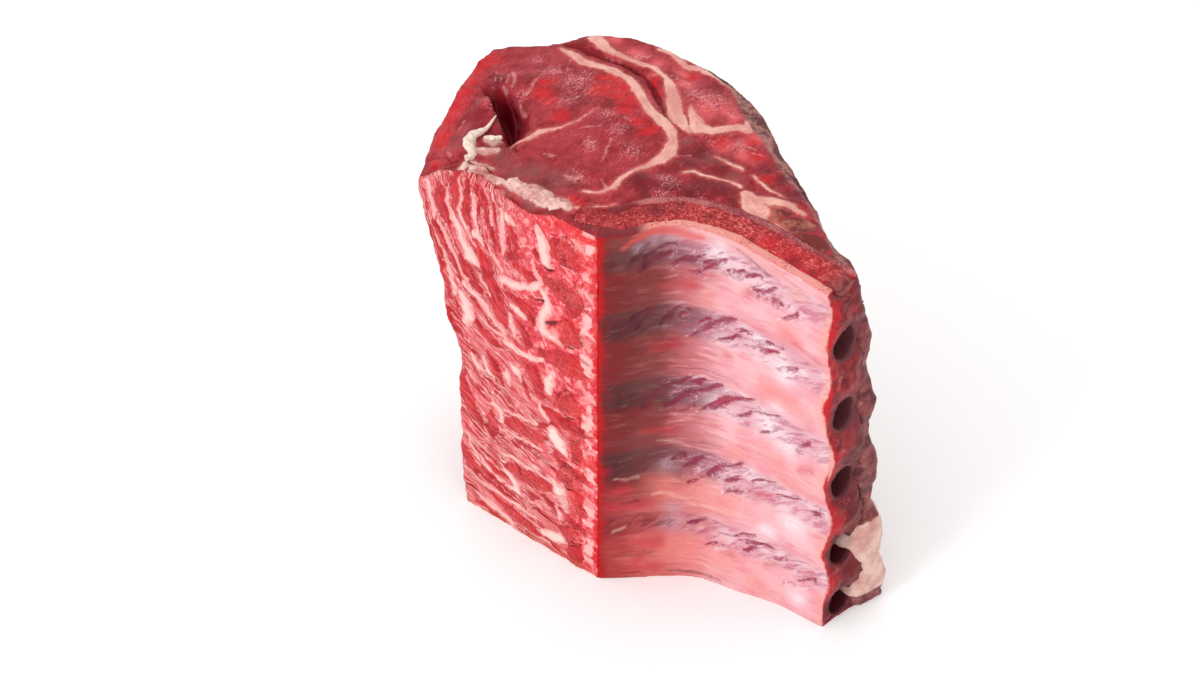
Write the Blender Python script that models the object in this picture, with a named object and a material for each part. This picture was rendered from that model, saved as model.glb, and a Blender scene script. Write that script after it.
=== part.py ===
"""A raw bone-in beef rib roast of six ribs, standing on its lower sawn end.

The near upright corner, where the sawn chine side meets the rib side, is the zero of every plan below:
plan x runs right along the rib side and plan y runs back. ORIGIN_SHIFT then moves the whole roast, so
that its own origin lies on the ground under the middle of its box. Every muscle runs through the roast
from the lower cut to the upper cut, and the fat and the meat between the bones fill what is left."""

import math

import bmesh
import bpy
import numpy as np

# ---- driving dimensions, in metres ----
HEIGHT = 0.270  # from the lower cut to the upper cut at the near corner
GAP = 0.0003  # between neighbouring pieces
ORIGIN_SHIFT = (-0.0351, -0.0738)  # from the near corner to the origin

# The rib side in plan, from the near corner to the rib tips, at the foot and at the top.
RIB_SIDE_FOOT = ((0, 0), (0.032, 0.0033), (0.060, 0.0033), (0.083, -0.0074), (0.110, -0.0195),
                 (0.136, -0.038))
RIB_SIDE_TOP = ((0, 0), (0.015, 0.002), (0.030, 0.010), (0.046, 0.012), (0.070, 0.004), (0.092, -0.014),
                (0.122, -0.041))
# The outer skin in plan, from the rib tips round the back to the chine side.
SKIN_FOOT = ((0.172, -0.013), (0.163, 0.012), (0.149, 0.050), (0.131, 0.092), (0.104, 0.138),
             (0.062, 0.172), (0.016, 0.187), (-0.014, 0.178), (-0.048, 0.173), (-0.067, 0.148),
             (-0.079, 0.108), (-0.0834, 0.067))
SKIN_TOP = ((0.136, -0.026), (0.124, 0.000), (0.114, 0.040), (0.102, 0.080), (0.090, 0.125),
            (0.060, 0.160), (0.020, 0.186), (-0.014, 0.187), (-0.024, 0.178), (-0.060, 0.176),
            (-0.075, 0.148), (-0.089, 0.109), (-0.098, 0.079))
SKIN_SWELL = 0.010  # how far the skin bows out at mid height, over the straight line from foot to top
SKIN_SWELL_FADE = (0.75, 0.50)  # share of the skin where the swell ends, and the share over which it fades
TIP_SWELL = 0.006  # the same at the rib tips, whose lip stays thick until just below the upper cut
TIP_SWELL_SHARE = 0.25  # share of the skin that this lip takes
TIP_SWELL_RISE = 3  # how late it swells: a power of the height
TIP_SWELL_PEAK = 9  # brings that curve's peak to about 1
CHINE_BLEND = (0.7, 0.3)  # share of the skin where its turn to the chine side starts, and the turn's share

CHINE_DIRECTION = math.radians(141.2)  # of the sawn chine side, from the near corner, in plan
# The chine side's width at each height.
CHINE_HEIGHTS = (0.000, 0.080, 0.130, 0.155, 0.180, 0.210, 0.240, 0.270)
CHINE_WIDTHS = (0.107, 0.107, 0.104, 0.114, 0.117, 0.125, 0.131, 0.128)

RIB_TIP_LEVELS = (0.2675, 0.223, 0.170, 0.116, 0.060, 0.014)  # the ribs' middles at the tips, top rib first
RIB_RISE = 0.009  # how much higher each rib's middle lies at the near corner
RIB_HEAD_LEVELS = (0.274, 0.250, 0.190, 0.135, 0.075, 0.027)  # where each rib ends on the chine side
RIB_HEAD_ALONG = 0.022  # from the near corner to the middle of a rib's head, along the chine side
RIB_DEEP = 0.0118  # from the rib side's surface to the middle of a rib
RIB_HALF_THICK = 0.0084
RIB_HALF_TALL = 0.0122
NECK_DEEP = 0.009  # how far inside the chine side a rib's neck turns towards the rib side
NECK_SHARE = 0.28  # share of a rib's length in which its neck comes down and thickens
NECK_SLIM = 0.82  # a rib's size at its head, as a share of its full size
NECK_BEND = 0.08  # share of a rib's length that its head stays level
RIB_RECESS = 0.006  # the bones end this far inside the meat at the tips
RIB_RELIEF = 0.0018  # the bones swell the rib side and the meat between them sinks
RIB_RELIEF_START = 0.15  # share of the rib side over which this relief grows from the corner
TIP_RELIEF = 0.0022  # at the tips the meat stands out and the bones sink

WALL = 0.0235  # thickness of the meat that holds the ribs
WALL_OVERRUN = 4  # last steps of the rib side that this meat's plan runs past the tips
OUTSIDE = 0.012  # how far a cutter reaches past the surface

# The upper cut: it falls to the right, rolls over at the left shoulder and crowns over the loin eye.
RIGHT_FALL = 0.004
RIGHT_FALL_START = 0.03
RIGHT_FALL_WIDE = 0.10
SHOULDER_START = -0.070
SHOULDER_WIDE = 0.028
SHOULDER_DROP = 0.021
CROWN = 0.004
CROWN_MIDDLE = (-0.012, 0.110)
CROWN_REACH = 0.040
CHINE_DIP = 0.009  # the chine side's upper edge dips where the ligament has shrunk
CHINE_DIP_MIDDLE = (-0.042, 0.033)
CHINE_DIP_REACH = 0.009

# Each muscle's outline on the upper cut. Outlines that pass the skin are trimmed by it.
MUSCLES = {
    "loin_eye": (
        (-0.059, 0.190), (-0.024, 0.190), (-0.017, 0.162), (0.000, 0.150), (0.015, 0.141), (0.021, 0.126),
        (0.027, 0.108), (0.037, 0.096), (0.036, 0.080), (0.028, 0.063), (0.014, 0.053), (0.006, 0.043),
        (-0.020, 0.041), (-0.034, 0.049), (-0.052, 0.062), (-0.053, 0.078), (-0.047, 0.100), (-0.053, 0.125),
        (-0.058, 0.155)),
    "spine_strip_muscle": (
        (-0.066, 0.192), (-0.064, 0.155), (-0.059, 0.127), (-0.056, 0.104), (-0.061, 0.085), (-0.073, 0.080),
        (-0.086, 0.087), (-0.105, 0.100), (-0.110, 0.140), (-0.090, 0.185)),
    "cap_muscle": (
        (0.001, 0.200), (0.030, 0.196), (0.052, 0.184), (0.046, 0.170), (0.051, 0.157), (0.045, 0.149),
        (0.032, 0.159), (0.016, 0.167), (0.006, 0.178)),
    "upper_side_muscle": (
        (0.053, 0.151), (0.068, 0.148), (0.090, 0.150), (0.108, 0.132), (0.108, 0.116), (0.086, 0.108),
        (0.074, 0.104), (0.061, 0.107), (0.054, 0.128)),
    "lower_side_muscle": (
        (0.056, 0.092), (0.070, 0.096), (0.090, 0.096), (0.116, 0.098), (0.124, 0.072), (0.128, 0.050),
        (0.108, 0.044), (0.096, 0.048), (0.083, 0.059), (0.066, 0.073), (0.056, 0.082)),
    "rib_muscle": (
        (0.014, 0.046), (0.025, 0.056), (0.041, 0.061), (0.060, 0.060), (0.073, 0.053), (0.077, 0.043),
        (0.068, 0.040), (0.045, 0.042), (0.026, 0.044)),
}
MUSCLE_STEPS = 2  # straight edges between two points of an outline
# The inner edge of the thin meat on the chine side, from the near corner's split outwards.
CHINE_MEAT_EDGE = ((-0.006, 0.0295), (-0.017, 0.0305), (-0.030, 0.0345), (-0.050, 0.050), (-0.073, 0.069),
                   (-0.096, 0.089), (-0.120, 0.108))
CORNER_SPLIT = math.radians(75)  # plan direction of the split between chine meat and rib wall
CORNER_SPLIT_DEEP = 0.027
CHINE_MEAT_LONG = 0.16  # length of this meat's plan, past the widest chine side

# The muscles lean: from the upper cut to the lower one they shift right, most on the right.
LEAN = (0.011, 0.035, 1.08)  # shift at plan x = 0, growth with x, growth with x squared
LEAN_FREE_RADIUS = 0.070  # nearer to the corner than this, the lean fades

# A torn crease between the strip and the eye, and a crack along the cap's seam.
CREASE_MIDDLE = (-0.054, 0.112)
CREASE_RADII = (0.0065, 0.027, 0.014)
CREASE_TURN = math.radians(12)
CRACK_PATH = ((-0.020, 0.184), (-0.006, 0.169), (0.015, 0.159), (0.028, 0.143), (0.034, 0.125),
              (0.043, 0.105))
CRACK_RADIUS = 0.003
CRACK_END = 0.35  # its ends' radius, as a share of the middle's

# Sawn faces of bone on the chine side: along from the corner, height, length along, height of the face.
VERTEBRAE = ((0.021, 0.220, 0.034, 0.021), (0.022, 0.1635, 0.030, 0.016), (0.019, 0.109, 0.026, 0.018),
             (0.020, 0.051, 0.026, 0.018))
VERTEBRA_DEEP = 0.011
SPINOUS_PROCESSES = ((0.053, 0.092, 0.032, 0.012), (0.053, 0.053, 0.040, 0.013), (0.062, 0.013, 0.034, 0.011))
SPINOUS_DEEP = 0.006
FACE_ROUNDING = 0.42  # corner radius, as a share of a face's height
FACE_ROUNDING_STEPS = 3

# How finely the skin is divided.
RIB_SIDE_STEPS = 18
TIP_STEPS = 5
SKIN_STEPS = 30
CHINE_STEPS = 8
LEVELS = 22
TOP_RINGS = 4
TOP_MIDDLE = (0.020, 0.070)
RIB_SIDES = 10
CRACK_SIDES = 8
SPLINE_CHECKS = 24  # straight parts per span when a curve's length is measured

# The exact solver loses faces of these two where the crack runs along their seam.
MANIFOLD_PIECES = ("loin_eye", "seam_fat")


# ---- plan curves ----
def spline(points, steps, closed=False):
    """Points along a smooth curve through the given ones, with so many steps in each span."""
    known = np.array(points, float)
    count = len(known)
    spans = count if closed else count - 1
    found = []
    for span in range(spans):
        wanted = (span - 1, span, span + 1, span + 2)
        before, start, end, after = (
            known[k % count] if closed else known[min(max(k, 0), count - 1)] for k in wanted)
        for step in range(steps):
            t = step / steps
            square = 2 * before - 5 * start + 4 * end - after
            cube = 3 * start - before - 3 * end + after
            found.append(0.5 * (2 * start + (end - before) * t + square * t**2 + cube * t**3))
    if not closed:
        found.append(known[-1])
    return np.array(found)


def evenly(points, steps):
    """The smooth curve through the points, cut into so many equal steps."""
    fine = spline(points, SPLINE_CHECKS)
    along = np.concatenate([[0], np.cumsum(np.hypot(*np.diff(fine, axis=0).T))])
    at = np.linspace(0, along[-1], steps + 1)
    return np.stack([np.interp(at, along, fine[:, axis]) for axis in (0, 1)], axis=1)


def right_of(run):
    normals = np.stack([run[:, 1], -run[:, 0]], axis=1)
    return normals / np.linalg.norm(normals, axis=1)[:, None]


def outward(points):
    """Unit normals on the right-hand side of an open run of plan points."""
    return right_of(np.gradient(points, axis=0))


def grown(points, by):
    """A closed counter-clockwise plan with each of its edges moved outwards."""
    after = right_of(np.roll(points, -1, axis=0) - points)
    before = np.roll(after, 1, axis=0)
    return points + by * (before + after) / (1 + np.sum(before * after, axis=1))[:, None]


def smooth_step(value):
    value = np.clip(value, 0, 1)
    return value * value * (3 - 2 * value)


RIB_SIDE = (evenly(RIB_SIDE_FOOT, RIB_SIDE_STEPS), evenly(RIB_SIDE_TOP, RIB_SIDE_STEPS))
SKIN = (evenly(SKIN_FOOT, SKIN_STEPS), evenly(SKIN_TOP, SKIN_STEPS))
CHINE_UNIT = np.array([math.cos(CHINE_DIRECTION), math.sin(CHINE_DIRECTION)])
CHINE_INWARD = np.array([CHINE_UNIT[1], -CHINE_UNIT[0]])


def between(pair, height):
    share = height / HEIGHT
    return pair[0] * (1 - share) + pair[1] * share


def rib_wave(height, share):
    """1 on a rib's middle and -1 half way to the next, at this share of the way to the tips."""
    level = height - RIB_RISE * (1 - share)
    place = np.interp(level, RIB_TIP_LEVELS[::-1], range(len(RIB_TIP_LEVELS)))
    return np.cos(2 * math.pi * place)


def rib_side(height):
    line = between(RIB_SIDE, height)
    share = np.linspace(0, 1, len(line))
    wave = RIB_RELIEF * rib_wave(height, share) * smooth_step(share / RIB_RELIEF_START)
    return line + outward(line) * wave[:, None]


def skin(height):
    line = between(SKIN, height)
    share = np.linspace(0, 1, len(line))
    level = height / HEIGHT
    bow = 4 * level * (1 - level)
    late = TIP_SWELL_PEAK * level**TIP_SWELL_RISE * (1 - level)
    fade = smooth_step((SKIN_SWELL_FADE[0] - share) / SKIN_SWELL_FADE[1])
    swell = bow * SKIN_SWELL * np.sin(math.pi * share) * fade
    swell = swell + late * TIP_SWELL * smooth_step(1 - share / TIP_SWELL_SHARE)
    line = line + outward(line) * swell[:, None]
    chine_end = CHINE_UNIT * np.interp(height, CHINE_HEIGHTS, CHINE_WIDTHS)
    return line + (chine_end - line[-1]) * smooth_step((share - CHINE_BLEND[0]) / CHINE_BLEND[1])[:, None]


def outline(height):
    """The whole roast's plan at one height, counter-clockwise from the near corner."""
    ribs = rib_side(height)
    back = skin(height)
    share = np.linspace(0, 1, TIP_STEPS + 1)
    tips = ribs[-1] + (back[0] - ribs[-1]) * share[:, None]
    swell = -TIP_RELIEF * rib_wave(height, 1.0) * np.sin(math.pi * share)
    tips = tips + outward(tips) * swell[:, None]
    chine = back[-1] * np.linspace(1, 0, CHINE_STEPS + 1)[:, None]
    return np.concatenate([ribs[:-1], tips[:-1], back[:-1], chine[:-1]])


def top_height(x, y):
    """The height of the upper cut over a plan point."""
    crown = CROWN * math.exp(-math.dist((x, y), CROWN_MIDDLE) ** 2 / (2 * CROWN_REACH**2))
    dip = CHINE_DIP * math.exp(-math.dist((x, y), CHINE_DIP_MIDDLE) ** 2 / (2 * CHINE_DIP_REACH**2))
    fall = RIGHT_FALL * float(smooth_step((x - RIGHT_FALL_START) / RIGHT_FALL_WIDE))
    shoulder = min(max((SHOULDER_START - x) / SHOULDER_WIDE, 0), 1)
    return HEIGHT + crown - dip - fall - SHOULDER_DROP * shoulder**2


# ---- making meshes and objects ----
def clear_scene():
    for obj in list(bpy.data.objects):
        bpy.data.objects.remove(obj, do_unlink=True)


def new_collection(name):
    collection = bpy.data.collections.new(name)
    bpy.context.scene.collection.children.link(collection)
    return collection


def from_bmesh(name, bm, collection):
    """A new object of flat triangles, so that a piece and its cutter bend along the same lines."""
    bmesh.ops.triangulate(bm, faces=bm.faces, quad_method="FIXED", ngon_method="EAR_CLIP")
    bmesh.ops.recalc_face_normals(bm, faces=bm.faces)
    mesh = bpy.data.meshes.new(name)
    bm.to_mesh(mesh)
    bm.free()
    obj = bpy.data.objects.new(name, mesh)
    collection.objects.link(obj)
    return obj


def as_helper(obj):
    obj.hide_render = True
    obj.display_type = "WIRE"
    return obj


def loft(name, rings, collection, middle=None):
    """A closed solid through rings of equal length. A middle point or one face closes the last ring."""
    bm = bmesh.new()
    loops = [[bm.verts.new(point) for point in ring] for ring in rings]
    for lower, upper in zip(loops, loops[1:]):
        for k in range(len(lower)):
            after = (k + 1) % len(lower)
            bm.faces.new((lower[k], lower[after], upper[after], upper[k]))
    bm.faces.new(loops[0][::-1])
    if middle is None:
        bm.faces.new(loops[-1])
    else:
        tip = bm.verts.new(middle)
        for k in range(len(loops[-1])):
            bm.faces.new((loops[-1][k], loops[-1][(k + 1) % len(loops[-1])], tip))
    return from_bmesh(name, bm, collection)


def placed(point, height):
    return (point[0] + ORIGIN_SHIFT[0], point[1] + ORIGIN_SHIFT[1], height)


def whole_roast(collection):
    """The roast's outer surface as one solid, with its crease and its crack."""
    rim = [top_height(x, y) for x, y in outline(HEIGHT)]
    rings = []
    for level in range(LEVELS + 1):
        share = level / LEVELS
        rings.append([placed(outline(share * edge)[k], share * edge) for k, edge in enumerate(rim)])
    for ring in range(1, TOP_RINGS + 1):
        towards = ring / (TOP_RINGS + 1)
        inner = outline(HEIGHT) * (1 - towards) + np.array(TOP_MIDDLE) * towards
        rings.append([placed(point, top_height(*point)) for point in inner])
    solid = loft("whole_roast", rings, collection, placed(TOP_MIDDLE, top_height(*TOP_MIDDLE)))
    cut(solid, crease(collection))
    cut(solid, crack(collection))
    return as_helper(baked(solid, collection))


def baked(obj, collection):
    """The object with its modifiers applied, as a new mesh object in place of the old one."""
    evaluated = obj.evaluated_get(bpy.context.evaluated_depsgraph_get())
    mesh = bpy.data.meshes.new_from_object(evaluated)
    bm = bmesh.new()
    bm.from_mesh(mesh)
    bmesh.ops.remove_doubles(bm, verts=bm.verts, dist=1e-6)
    bmesh.ops.triangulate(bm, faces=bm.faces, quad_method="FIXED", ngon_method="EAR_CLIP")
    bmesh.ops.recalc_face_normals(bm, faces=bm.faces)
    bm.to_mesh(mesh)
    bm.free()
    solid = bpy.data.objects.new(obj.name + "_solid", mesh)
    solid.matrix_world = obj.matrix_world
    bpy.data.objects.remove(obj, do_unlink=True)
    collection.objects.link(solid)
    return solid


def solver_for(obj):
    return "MANIFOLD" if obj.name in MANIFOLD_PIECES else "EXACT"


def cut(obj, cutter, operation="DIFFERENCE"):
    modifier = obj.modifiers.new(cutter.name, "BOOLEAN")
    modifier.operation = operation
    modifier.object = cutter
    modifier.solver = solver_for(obj)


def cut_all(obj, collection):
    modifier = obj.modifiers.new(collection.name, "BOOLEAN")
    modifier.operand_type = "COLLECTION"
    modifier.collection = collection
    modifier.solver = solver_for(obj)


def crease(collection):
    bm = bmesh.new()
    bmesh.ops.create_uvsphere(bm, u_segments=16, v_segments=8, radius=1)
    bmesh.ops.scale(bm, verts=bm.verts, vec=CREASE_RADII)
    obj = as_helper(from_bmesh("crease", bm, collection))
    obj.location = placed(CREASE_MIDDLE, top_height(*CREASE_MIDDLE))
    obj.rotation_euler.z = CREASE_TURN
    bpy.context.view_layer.update()
    return obj


def swept(name, path, radii, section, collection):
    """A closed tube of the given section along a path, tapered by the radii."""
    data = bpy.data.curves.new(name, "CURVE")
    data.dimensions = "3D"
    data.twist_mode = "Z_UP"
    data.bevel_mode = "OBJECT"
    data.bevel_object = section
    data.use_fill_caps = True
    line = data.splines.new("POLY")
    line.points.add(len(path) - 1)
    for point, place, radius in zip(line.points, path, radii):
        point.co = (*place, 1)
        point.radius = radius
    curve = bpy.data.objects.new(name, data)
    collection.objects.link(curve)
    bpy.context.view_layer.update()
    return baked(curve, collection)


def oval(name, half_wide, half_tall, sides, collection):
    data = bpy.data.curves.new(name, "CURVE")
    data.dimensions = "2D"
    line = data.splines.new("POLY")
    line.points.add(sides - 1)
    line.use_cyclic_u = True
    for k, point in enumerate(line.points):
        turn = 2 * math.pi * (k + 0.5) / sides
        point.co = (half_wide * math.cos(turn), half_tall * math.sin(turn), 0, 1)
    obj = as_helper(bpy.data.objects.new(name, data))
    collection.objects.link(obj)
    return obj


def crack(collection):
    section = oval("crack_section", CRACK_RADIUS, CRACK_RADIUS, CRACK_SIDES, collection)
    line = spline(CRACK_PATH, 3)
    path = [placed(point, top_height(*point)) for point in line]
    radii = CRACK_END + (1 - CRACK_END) * np.sin(np.linspace(0, math.pi, len(path)))
    return as_helper(swept("crack", path, radii, section, collection))


def leaned(points):
    """The plan on the lower cut of what has this plan on the upper cut."""
    x, y = points.T
    shift = LEAN[0] + LEAN[1] * x + LEAN[2] * x * x
    free = smooth_step(np.hypot(x, y) / LEAN_FREE_RADIUS)
    return np.stack([x + shift * free, y], axis=1)


def column(name, foot, top, collection, spare=0.0):
    """An upright solid between a plan on the lower cut and one on the upper cut, running past both."""
    rings = []
    for height in (-OUTSIDE, HEIGHT + OUTSIDE):
        share = height / HEIGHT
        plan = grown(foot * (1 - share) + top * share, spare)
        rings.append([placed(point, height) for point in plan])
    return as_helper(loft(name, rings, collection))


def muscle_plans(points):
    top = spline(points, MUSCLE_STEPS, closed=True)
    if np.sum(top[:, 0] * np.roll(top[:, 1], -1) - top[:, 1] * np.roll(top[:, 0], -1)) < 0:
        top = top[::-1]
    return leaned(top), top


def split_point(deep, side):
    """A point on the corner's split, half a gap to its chine side (-1) or its rib side (1)."""
    along = np.array([math.cos(CORNER_SPLIT), math.sin(CORNER_SPLIT)])
    across = np.array([along[1], -along[0]])
    return along * deep + across * side * GAP / 2


def rib_wall_plan(line):
    """The plan of the meat that holds the ribs, round the rib side's own line."""
    normals = outward(line)
    past = line[-1] + (line[-1] - line[-2]) * WALL_OVERRUN
    front = [*(line[1:] + normals[1:] * OUTSIDE), past + normals[-1] * OUTSIDE]
    back = [past - normals[-1] * WALL, *(line[2:] - normals[2:] * WALL)[::-1]]
    return np.array([split_point(-OUTSIDE, 1), *front, *back, split_point(CORNER_SPLIT_DEEP, 1)])


def chine_meat_plan(edge):
    outer = [CHINE_UNIT * CHINE_MEAT_LONG - CHINE_INWARD * OUTSIDE, split_point(-OUTSIDE, -1)]
    return np.array([*outer, split_point(CORNER_SPLIT_DEEP, -1), *edge])


def meat_columns():
    """The plans, on the lower and the upper cut, of everything but the fat."""
    plans = {name: muscle_plans(points) for name, points in MUSCLES.items()}
    plans["rib_wall"] = tuple(rib_wall_plan(line) for line in RIB_SIDE)
    edge = np.array(CHINE_MEAT_EDGE)
    plans["chine_meat"] = (chine_meat_plan(leaned(edge)), chine_meat_plan(edge))
    return plans


# ---- bones ----
def rib_path(number):
    """The middle line of a rib from its head on the chine side, with a last point past the meat."""
    tip = RIB_TIP_LEVELS[number]
    head = RIB_HEAD_LEVELS[number]
    corner = tip + RIB_RISE
    head_place = CHINE_UNIT * RIB_HEAD_ALONG
    line = between(RIB_SIDE, tip)
    deep = line - outward(line) * RIB_DEEP
    run = deep[-1] - deep[-3]
    run = run / np.linalg.norm(run)
    neck = [head_place - CHINE_INWARD * OUTSIDE, head_place + CHINE_INWARD * NECK_DEEP / 3,
            head_place / 2 + CHINE_INWARD * NECK_DEEP]
    if number == 0:
        neck = [head_place + CHINE_INWARD * NECK_DEEP]
    plan = [*neck, *deep[2:-2:2], deep[-1] - run * RIB_RECESS, deep[-1] + run * OUTSIDE]
    share = np.linspace(0, 1, len(plan))
    risen = 1 - smooth_step((share - NECK_BEND) / NECK_SHARE)
    heights = corner + (tip - corner) * share + (head - corner) * risen
    slim = NECK_SLIM + (1 - NECK_SLIM) * smooth_step(share / NECK_SHARE)
    return [placed(point, height) for point, height in zip(plan, heights)], slim


def rib(number, section, collection, name, points=None):
    path, slim = rib_path(number)
    return swept(name, path[:points], slim[:points], section, collection)


def bone_face(name, along, height, wide, tall, deep, spare, collection):
    """A rounded block of bone let into the chine side, which trims it flush."""
    bm = bmesh.new()
    bmesh.ops.create_cube(bm, size=1)
    size = (wide + 2 * spare, 2 * (deep + spare), tall + 2 * spare)
    bmesh.ops.scale(bm, verts=bm.verts, vec=size)
    upright = [edge for edge in bm.edges if abs(edge.verts[0].co.y - edge.verts[1].co.y) > deep]
    bmesh.ops.bevel(bm, geom=upright, offset=FACE_ROUNDING * tall, segments=FACE_ROUNDING_STEPS,
                    affect="EDGES", profile=0.5, material=-1)
    obj = as_helper(from_bmesh(name, bm, collection))
    obj.location = placed(CHINE_UNIT * along, height)
    obj.rotation_euler.z = CHINE_DIRECTION
    bpy.context.view_layer.update()
    return baked(obj, collection)


# ---- looks ----
def material(name, red, green, blue, roughness):
    """A plain wet material from a colour in 0-255 sRGB."""
    found = bpy.data.materials.new(name)
    found.use_nodes = True
    shader = found.node_tree.nodes["Principled BSDF"]
    linear = [((value / 255 + 0.055) / 1.055) ** 2.4 for value in (red, green, blue)]
    shader.inputs["Base Color"].default_value = (*linear, 1)
    shader.inputs["Roughness"].default_value = roughness
    shader.inputs["Metallic"].default_value = 0
    found.diffuse_color = (*linear, 1)
    return found


MEAT_COLOURS = {
    "loin_eye": (180, 62, 72),
    "spine_strip_muscle": (190, 52, 58),
    "cap_muscle": (198, 86, 92),
    "upper_side_muscle": (196, 82, 88),
    "lower_side_muscle": (190, 72, 78),
    "rib_muscle": (124, 36, 42),
    "rib_wall": (240, 160, 166),
    "chine_meat": (216, 98, 104),
}


def finish(obj, look, parts):
    """Puts a finished piece among the roast's parts, shaded smooth with its sawn edges kept sharp."""
    for owner in list(obj.users_collection):
        owner.objects.unlink(obj)
    parts.objects.link(obj)
    obj.hide_render = False
    obj.display_type = "TEXTURED"
    obj.data.materials.clear()
    obj.data.materials.append(look)
    obj.data.shade_smooth()
    obj.data.set_sharp_from_angle(angle=math.radians(40))


def main():
    clear_scene()
    parts = new_collection("beef_rib_roast")
    helpers = new_collection("helpers")
    meat_cutters = new_collection("meat_cutters")
    bone_cutters = new_collection("bone_cutters")
    roast = whole_roast(helpers)
    bone_look = material("sawn_bone", 190, 74, 80, 0.5)
    fat_look = material("fat", 240, 182, 168, 0.45)

    section = oval("rib_section", RIB_HALF_THICK, RIB_HALF_TALL, RIB_SIDES, helpers)
    wide_section = oval("rib_cut_section", RIB_HALF_THICK + GAP, RIB_HALF_TALL + GAP, RIB_SIDES, helpers)
    rib_cutters = []
    for number in range(len(RIB_TIP_LEVELS)):
        bone = rib(number, section, helpers, "rib", -1)
        bone.name = f"rib_{number + 1}"
        cut(bone, roast, "INTERSECT")
        finish(bone, bone_look, parts)
        cutter = as_helper(rib(number, wide_section, bone_cutters, f"rib_cut_{number + 1}"))
        rib_cutters.append(cutter)

    for stem, faces, deep in (("vertebra", VERTEBRAE, VERTEBRA_DEEP),
                              ("spinous_process", SPINOUS_PROCESSES, SPINOUS_DEEP)):
        for number, face in enumerate(faces):
            bone = bone_face("bone", *face, deep, 0.0, helpers)
            bone.name = f"{stem}_{number + 1}"
            cut(bone, roast, "INTERSECT")
            for cutter in rib_cutters:
                if stem == "vertebra":
                    cut(bone, cutter)
            finish(bone, bone_look, parts)
            as_helper(bone_face(f"{stem}_cut_{number + 1}", *face, deep, GAP, bone_cutters))

    for name, (foot, top) in meat_columns().items():
        piece = bpy.data.objects.new(name, roast.data.copy())
        cut(piece, column(f"{name}_column", foot, top, helpers), "INTERSECT")
        if name in ("rib_wall", "chine_meat"):
            cut_all(piece, bone_cutters)
        finish(piece, material(name, *MEAT_COLOURS[name], 0.42), parts)
        column(f"{name}_cut", foot, top, meat_cutters, GAP)

    fat = bpy.data.objects.new("seam_fat", roast.data.copy())
    cut_all(fat, meat_cutters)
    finish(fat, fat_look, parts)


main()
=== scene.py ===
"""The looks of a raw bone-in beef rib roast of six ribs that stands on its lower sawn end.

Places on the roast are measured from its near upright corner, where the sawn chine side meets the
rib side: plan x runs right along the rib side, plan y runs back, and z is the height. Strokes on a
face are written in centimetres of that face, each point with the stroke's half width there, and
spots as a place with a radius. Colours are screen colours, 0 to 255, as the studio shows them."""

import math

import bmesh
import bpy
import numpy as np
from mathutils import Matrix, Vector, noise


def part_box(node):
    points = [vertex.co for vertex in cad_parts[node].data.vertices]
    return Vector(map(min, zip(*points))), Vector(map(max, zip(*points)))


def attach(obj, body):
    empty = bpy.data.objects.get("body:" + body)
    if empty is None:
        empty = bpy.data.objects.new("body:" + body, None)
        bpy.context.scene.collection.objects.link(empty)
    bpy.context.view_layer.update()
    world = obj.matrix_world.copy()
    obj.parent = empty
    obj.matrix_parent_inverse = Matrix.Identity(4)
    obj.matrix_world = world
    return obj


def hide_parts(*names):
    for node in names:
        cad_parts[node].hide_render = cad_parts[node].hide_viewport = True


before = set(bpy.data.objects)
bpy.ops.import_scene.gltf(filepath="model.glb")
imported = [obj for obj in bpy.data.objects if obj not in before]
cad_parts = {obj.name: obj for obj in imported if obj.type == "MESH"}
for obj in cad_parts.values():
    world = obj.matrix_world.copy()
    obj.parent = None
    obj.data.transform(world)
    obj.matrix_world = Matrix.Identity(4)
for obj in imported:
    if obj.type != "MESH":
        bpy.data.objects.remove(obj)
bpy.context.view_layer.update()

# ---- The muscles and their seam fat ----------------------------------------------------------
# The loin eye, the strip beside the spine, the cap and the side muscles run the whole length of the
# roast, grown together by bands of cream-pink fat. Outside, a fat cap and a dried skin cover them.

CM = 0.01
NEAR_CORNER = np.array([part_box("rib_wall")[0].x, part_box("chine_meat")[0].y, 0.0])
HEIGHT = 0.270
CHINE_DIRECTION = math.radians(141.2)
CHINE_UNIT = np.array([math.cos(CHINE_DIRECTION), math.sin(CHINE_DIRECTION), 0.0])
CHINE_OUT = np.array([-math.sin(CHINE_DIRECTION), math.cos(CHINE_DIRECTION), 0.0])
TIP_OUT = np.array([0.77, -0.64, 0.0])  # the way that the sawn rib tips face
RIB_TIP_LEVELS = (0.014, 0.060, 0.116, 0.170, 0.223, 0.2675)
LEAN = (0.011, 0.035, 1.08)  # how far the roast leans to the right between its foot and its top
LEAN_FREE_RADIUS = 0.070  # the lean sets in over this distance from the near corner
MEAT_FINENESS = 0.0022  # the size of the fine mesh's faces
LET_OUT = 0.0004  # pieces that grow together are let out by this much, so that no gap shows
FINER_BAND = 0.028  # the upper cut's mesh is twice as fine down to here
LOBE_TOP = 0.078
LOBE_EDGE = 0.104  # the lobe of fat begins this far out towards the rib tips
BULGE_GAIN = 1.4  # the bulges and hollows are this much stronger than they are listed
SCALLOP_HIGH = 0.0020  # how far the edge swells between the rib tips
LOBE_THICK = 0.0030
NEAR_TIPS = (0.085, 0.112)  # how far out towards the rib tips the dried edge, whose lean is painted darker as shade, begins, and is full
RIGHT_SIDE = (0.02, 0.08)  # plan x where the right side begins, and is full
LEFT_SIDE = (0.048, 0.060)  # how far left of the near corner the left side begins, and is full
# How far what is painted on the cut stands up, and how deep inside its strokes it begins and is full.
CUT_HEIGHTS = {"fat": (0.0008, -0.2, 0.25), "white_fat": (0.0012, -0.1, 0.3),
               "seam": (-0.0030, -0.15, 0.12), "gouge": (-0.0075, -0.6, 0.35), "rim": (-0.0020, -0.1, 0.5)}
STUDIO_LIGHT = 1.16  # how bright the studio makes a white face

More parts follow.
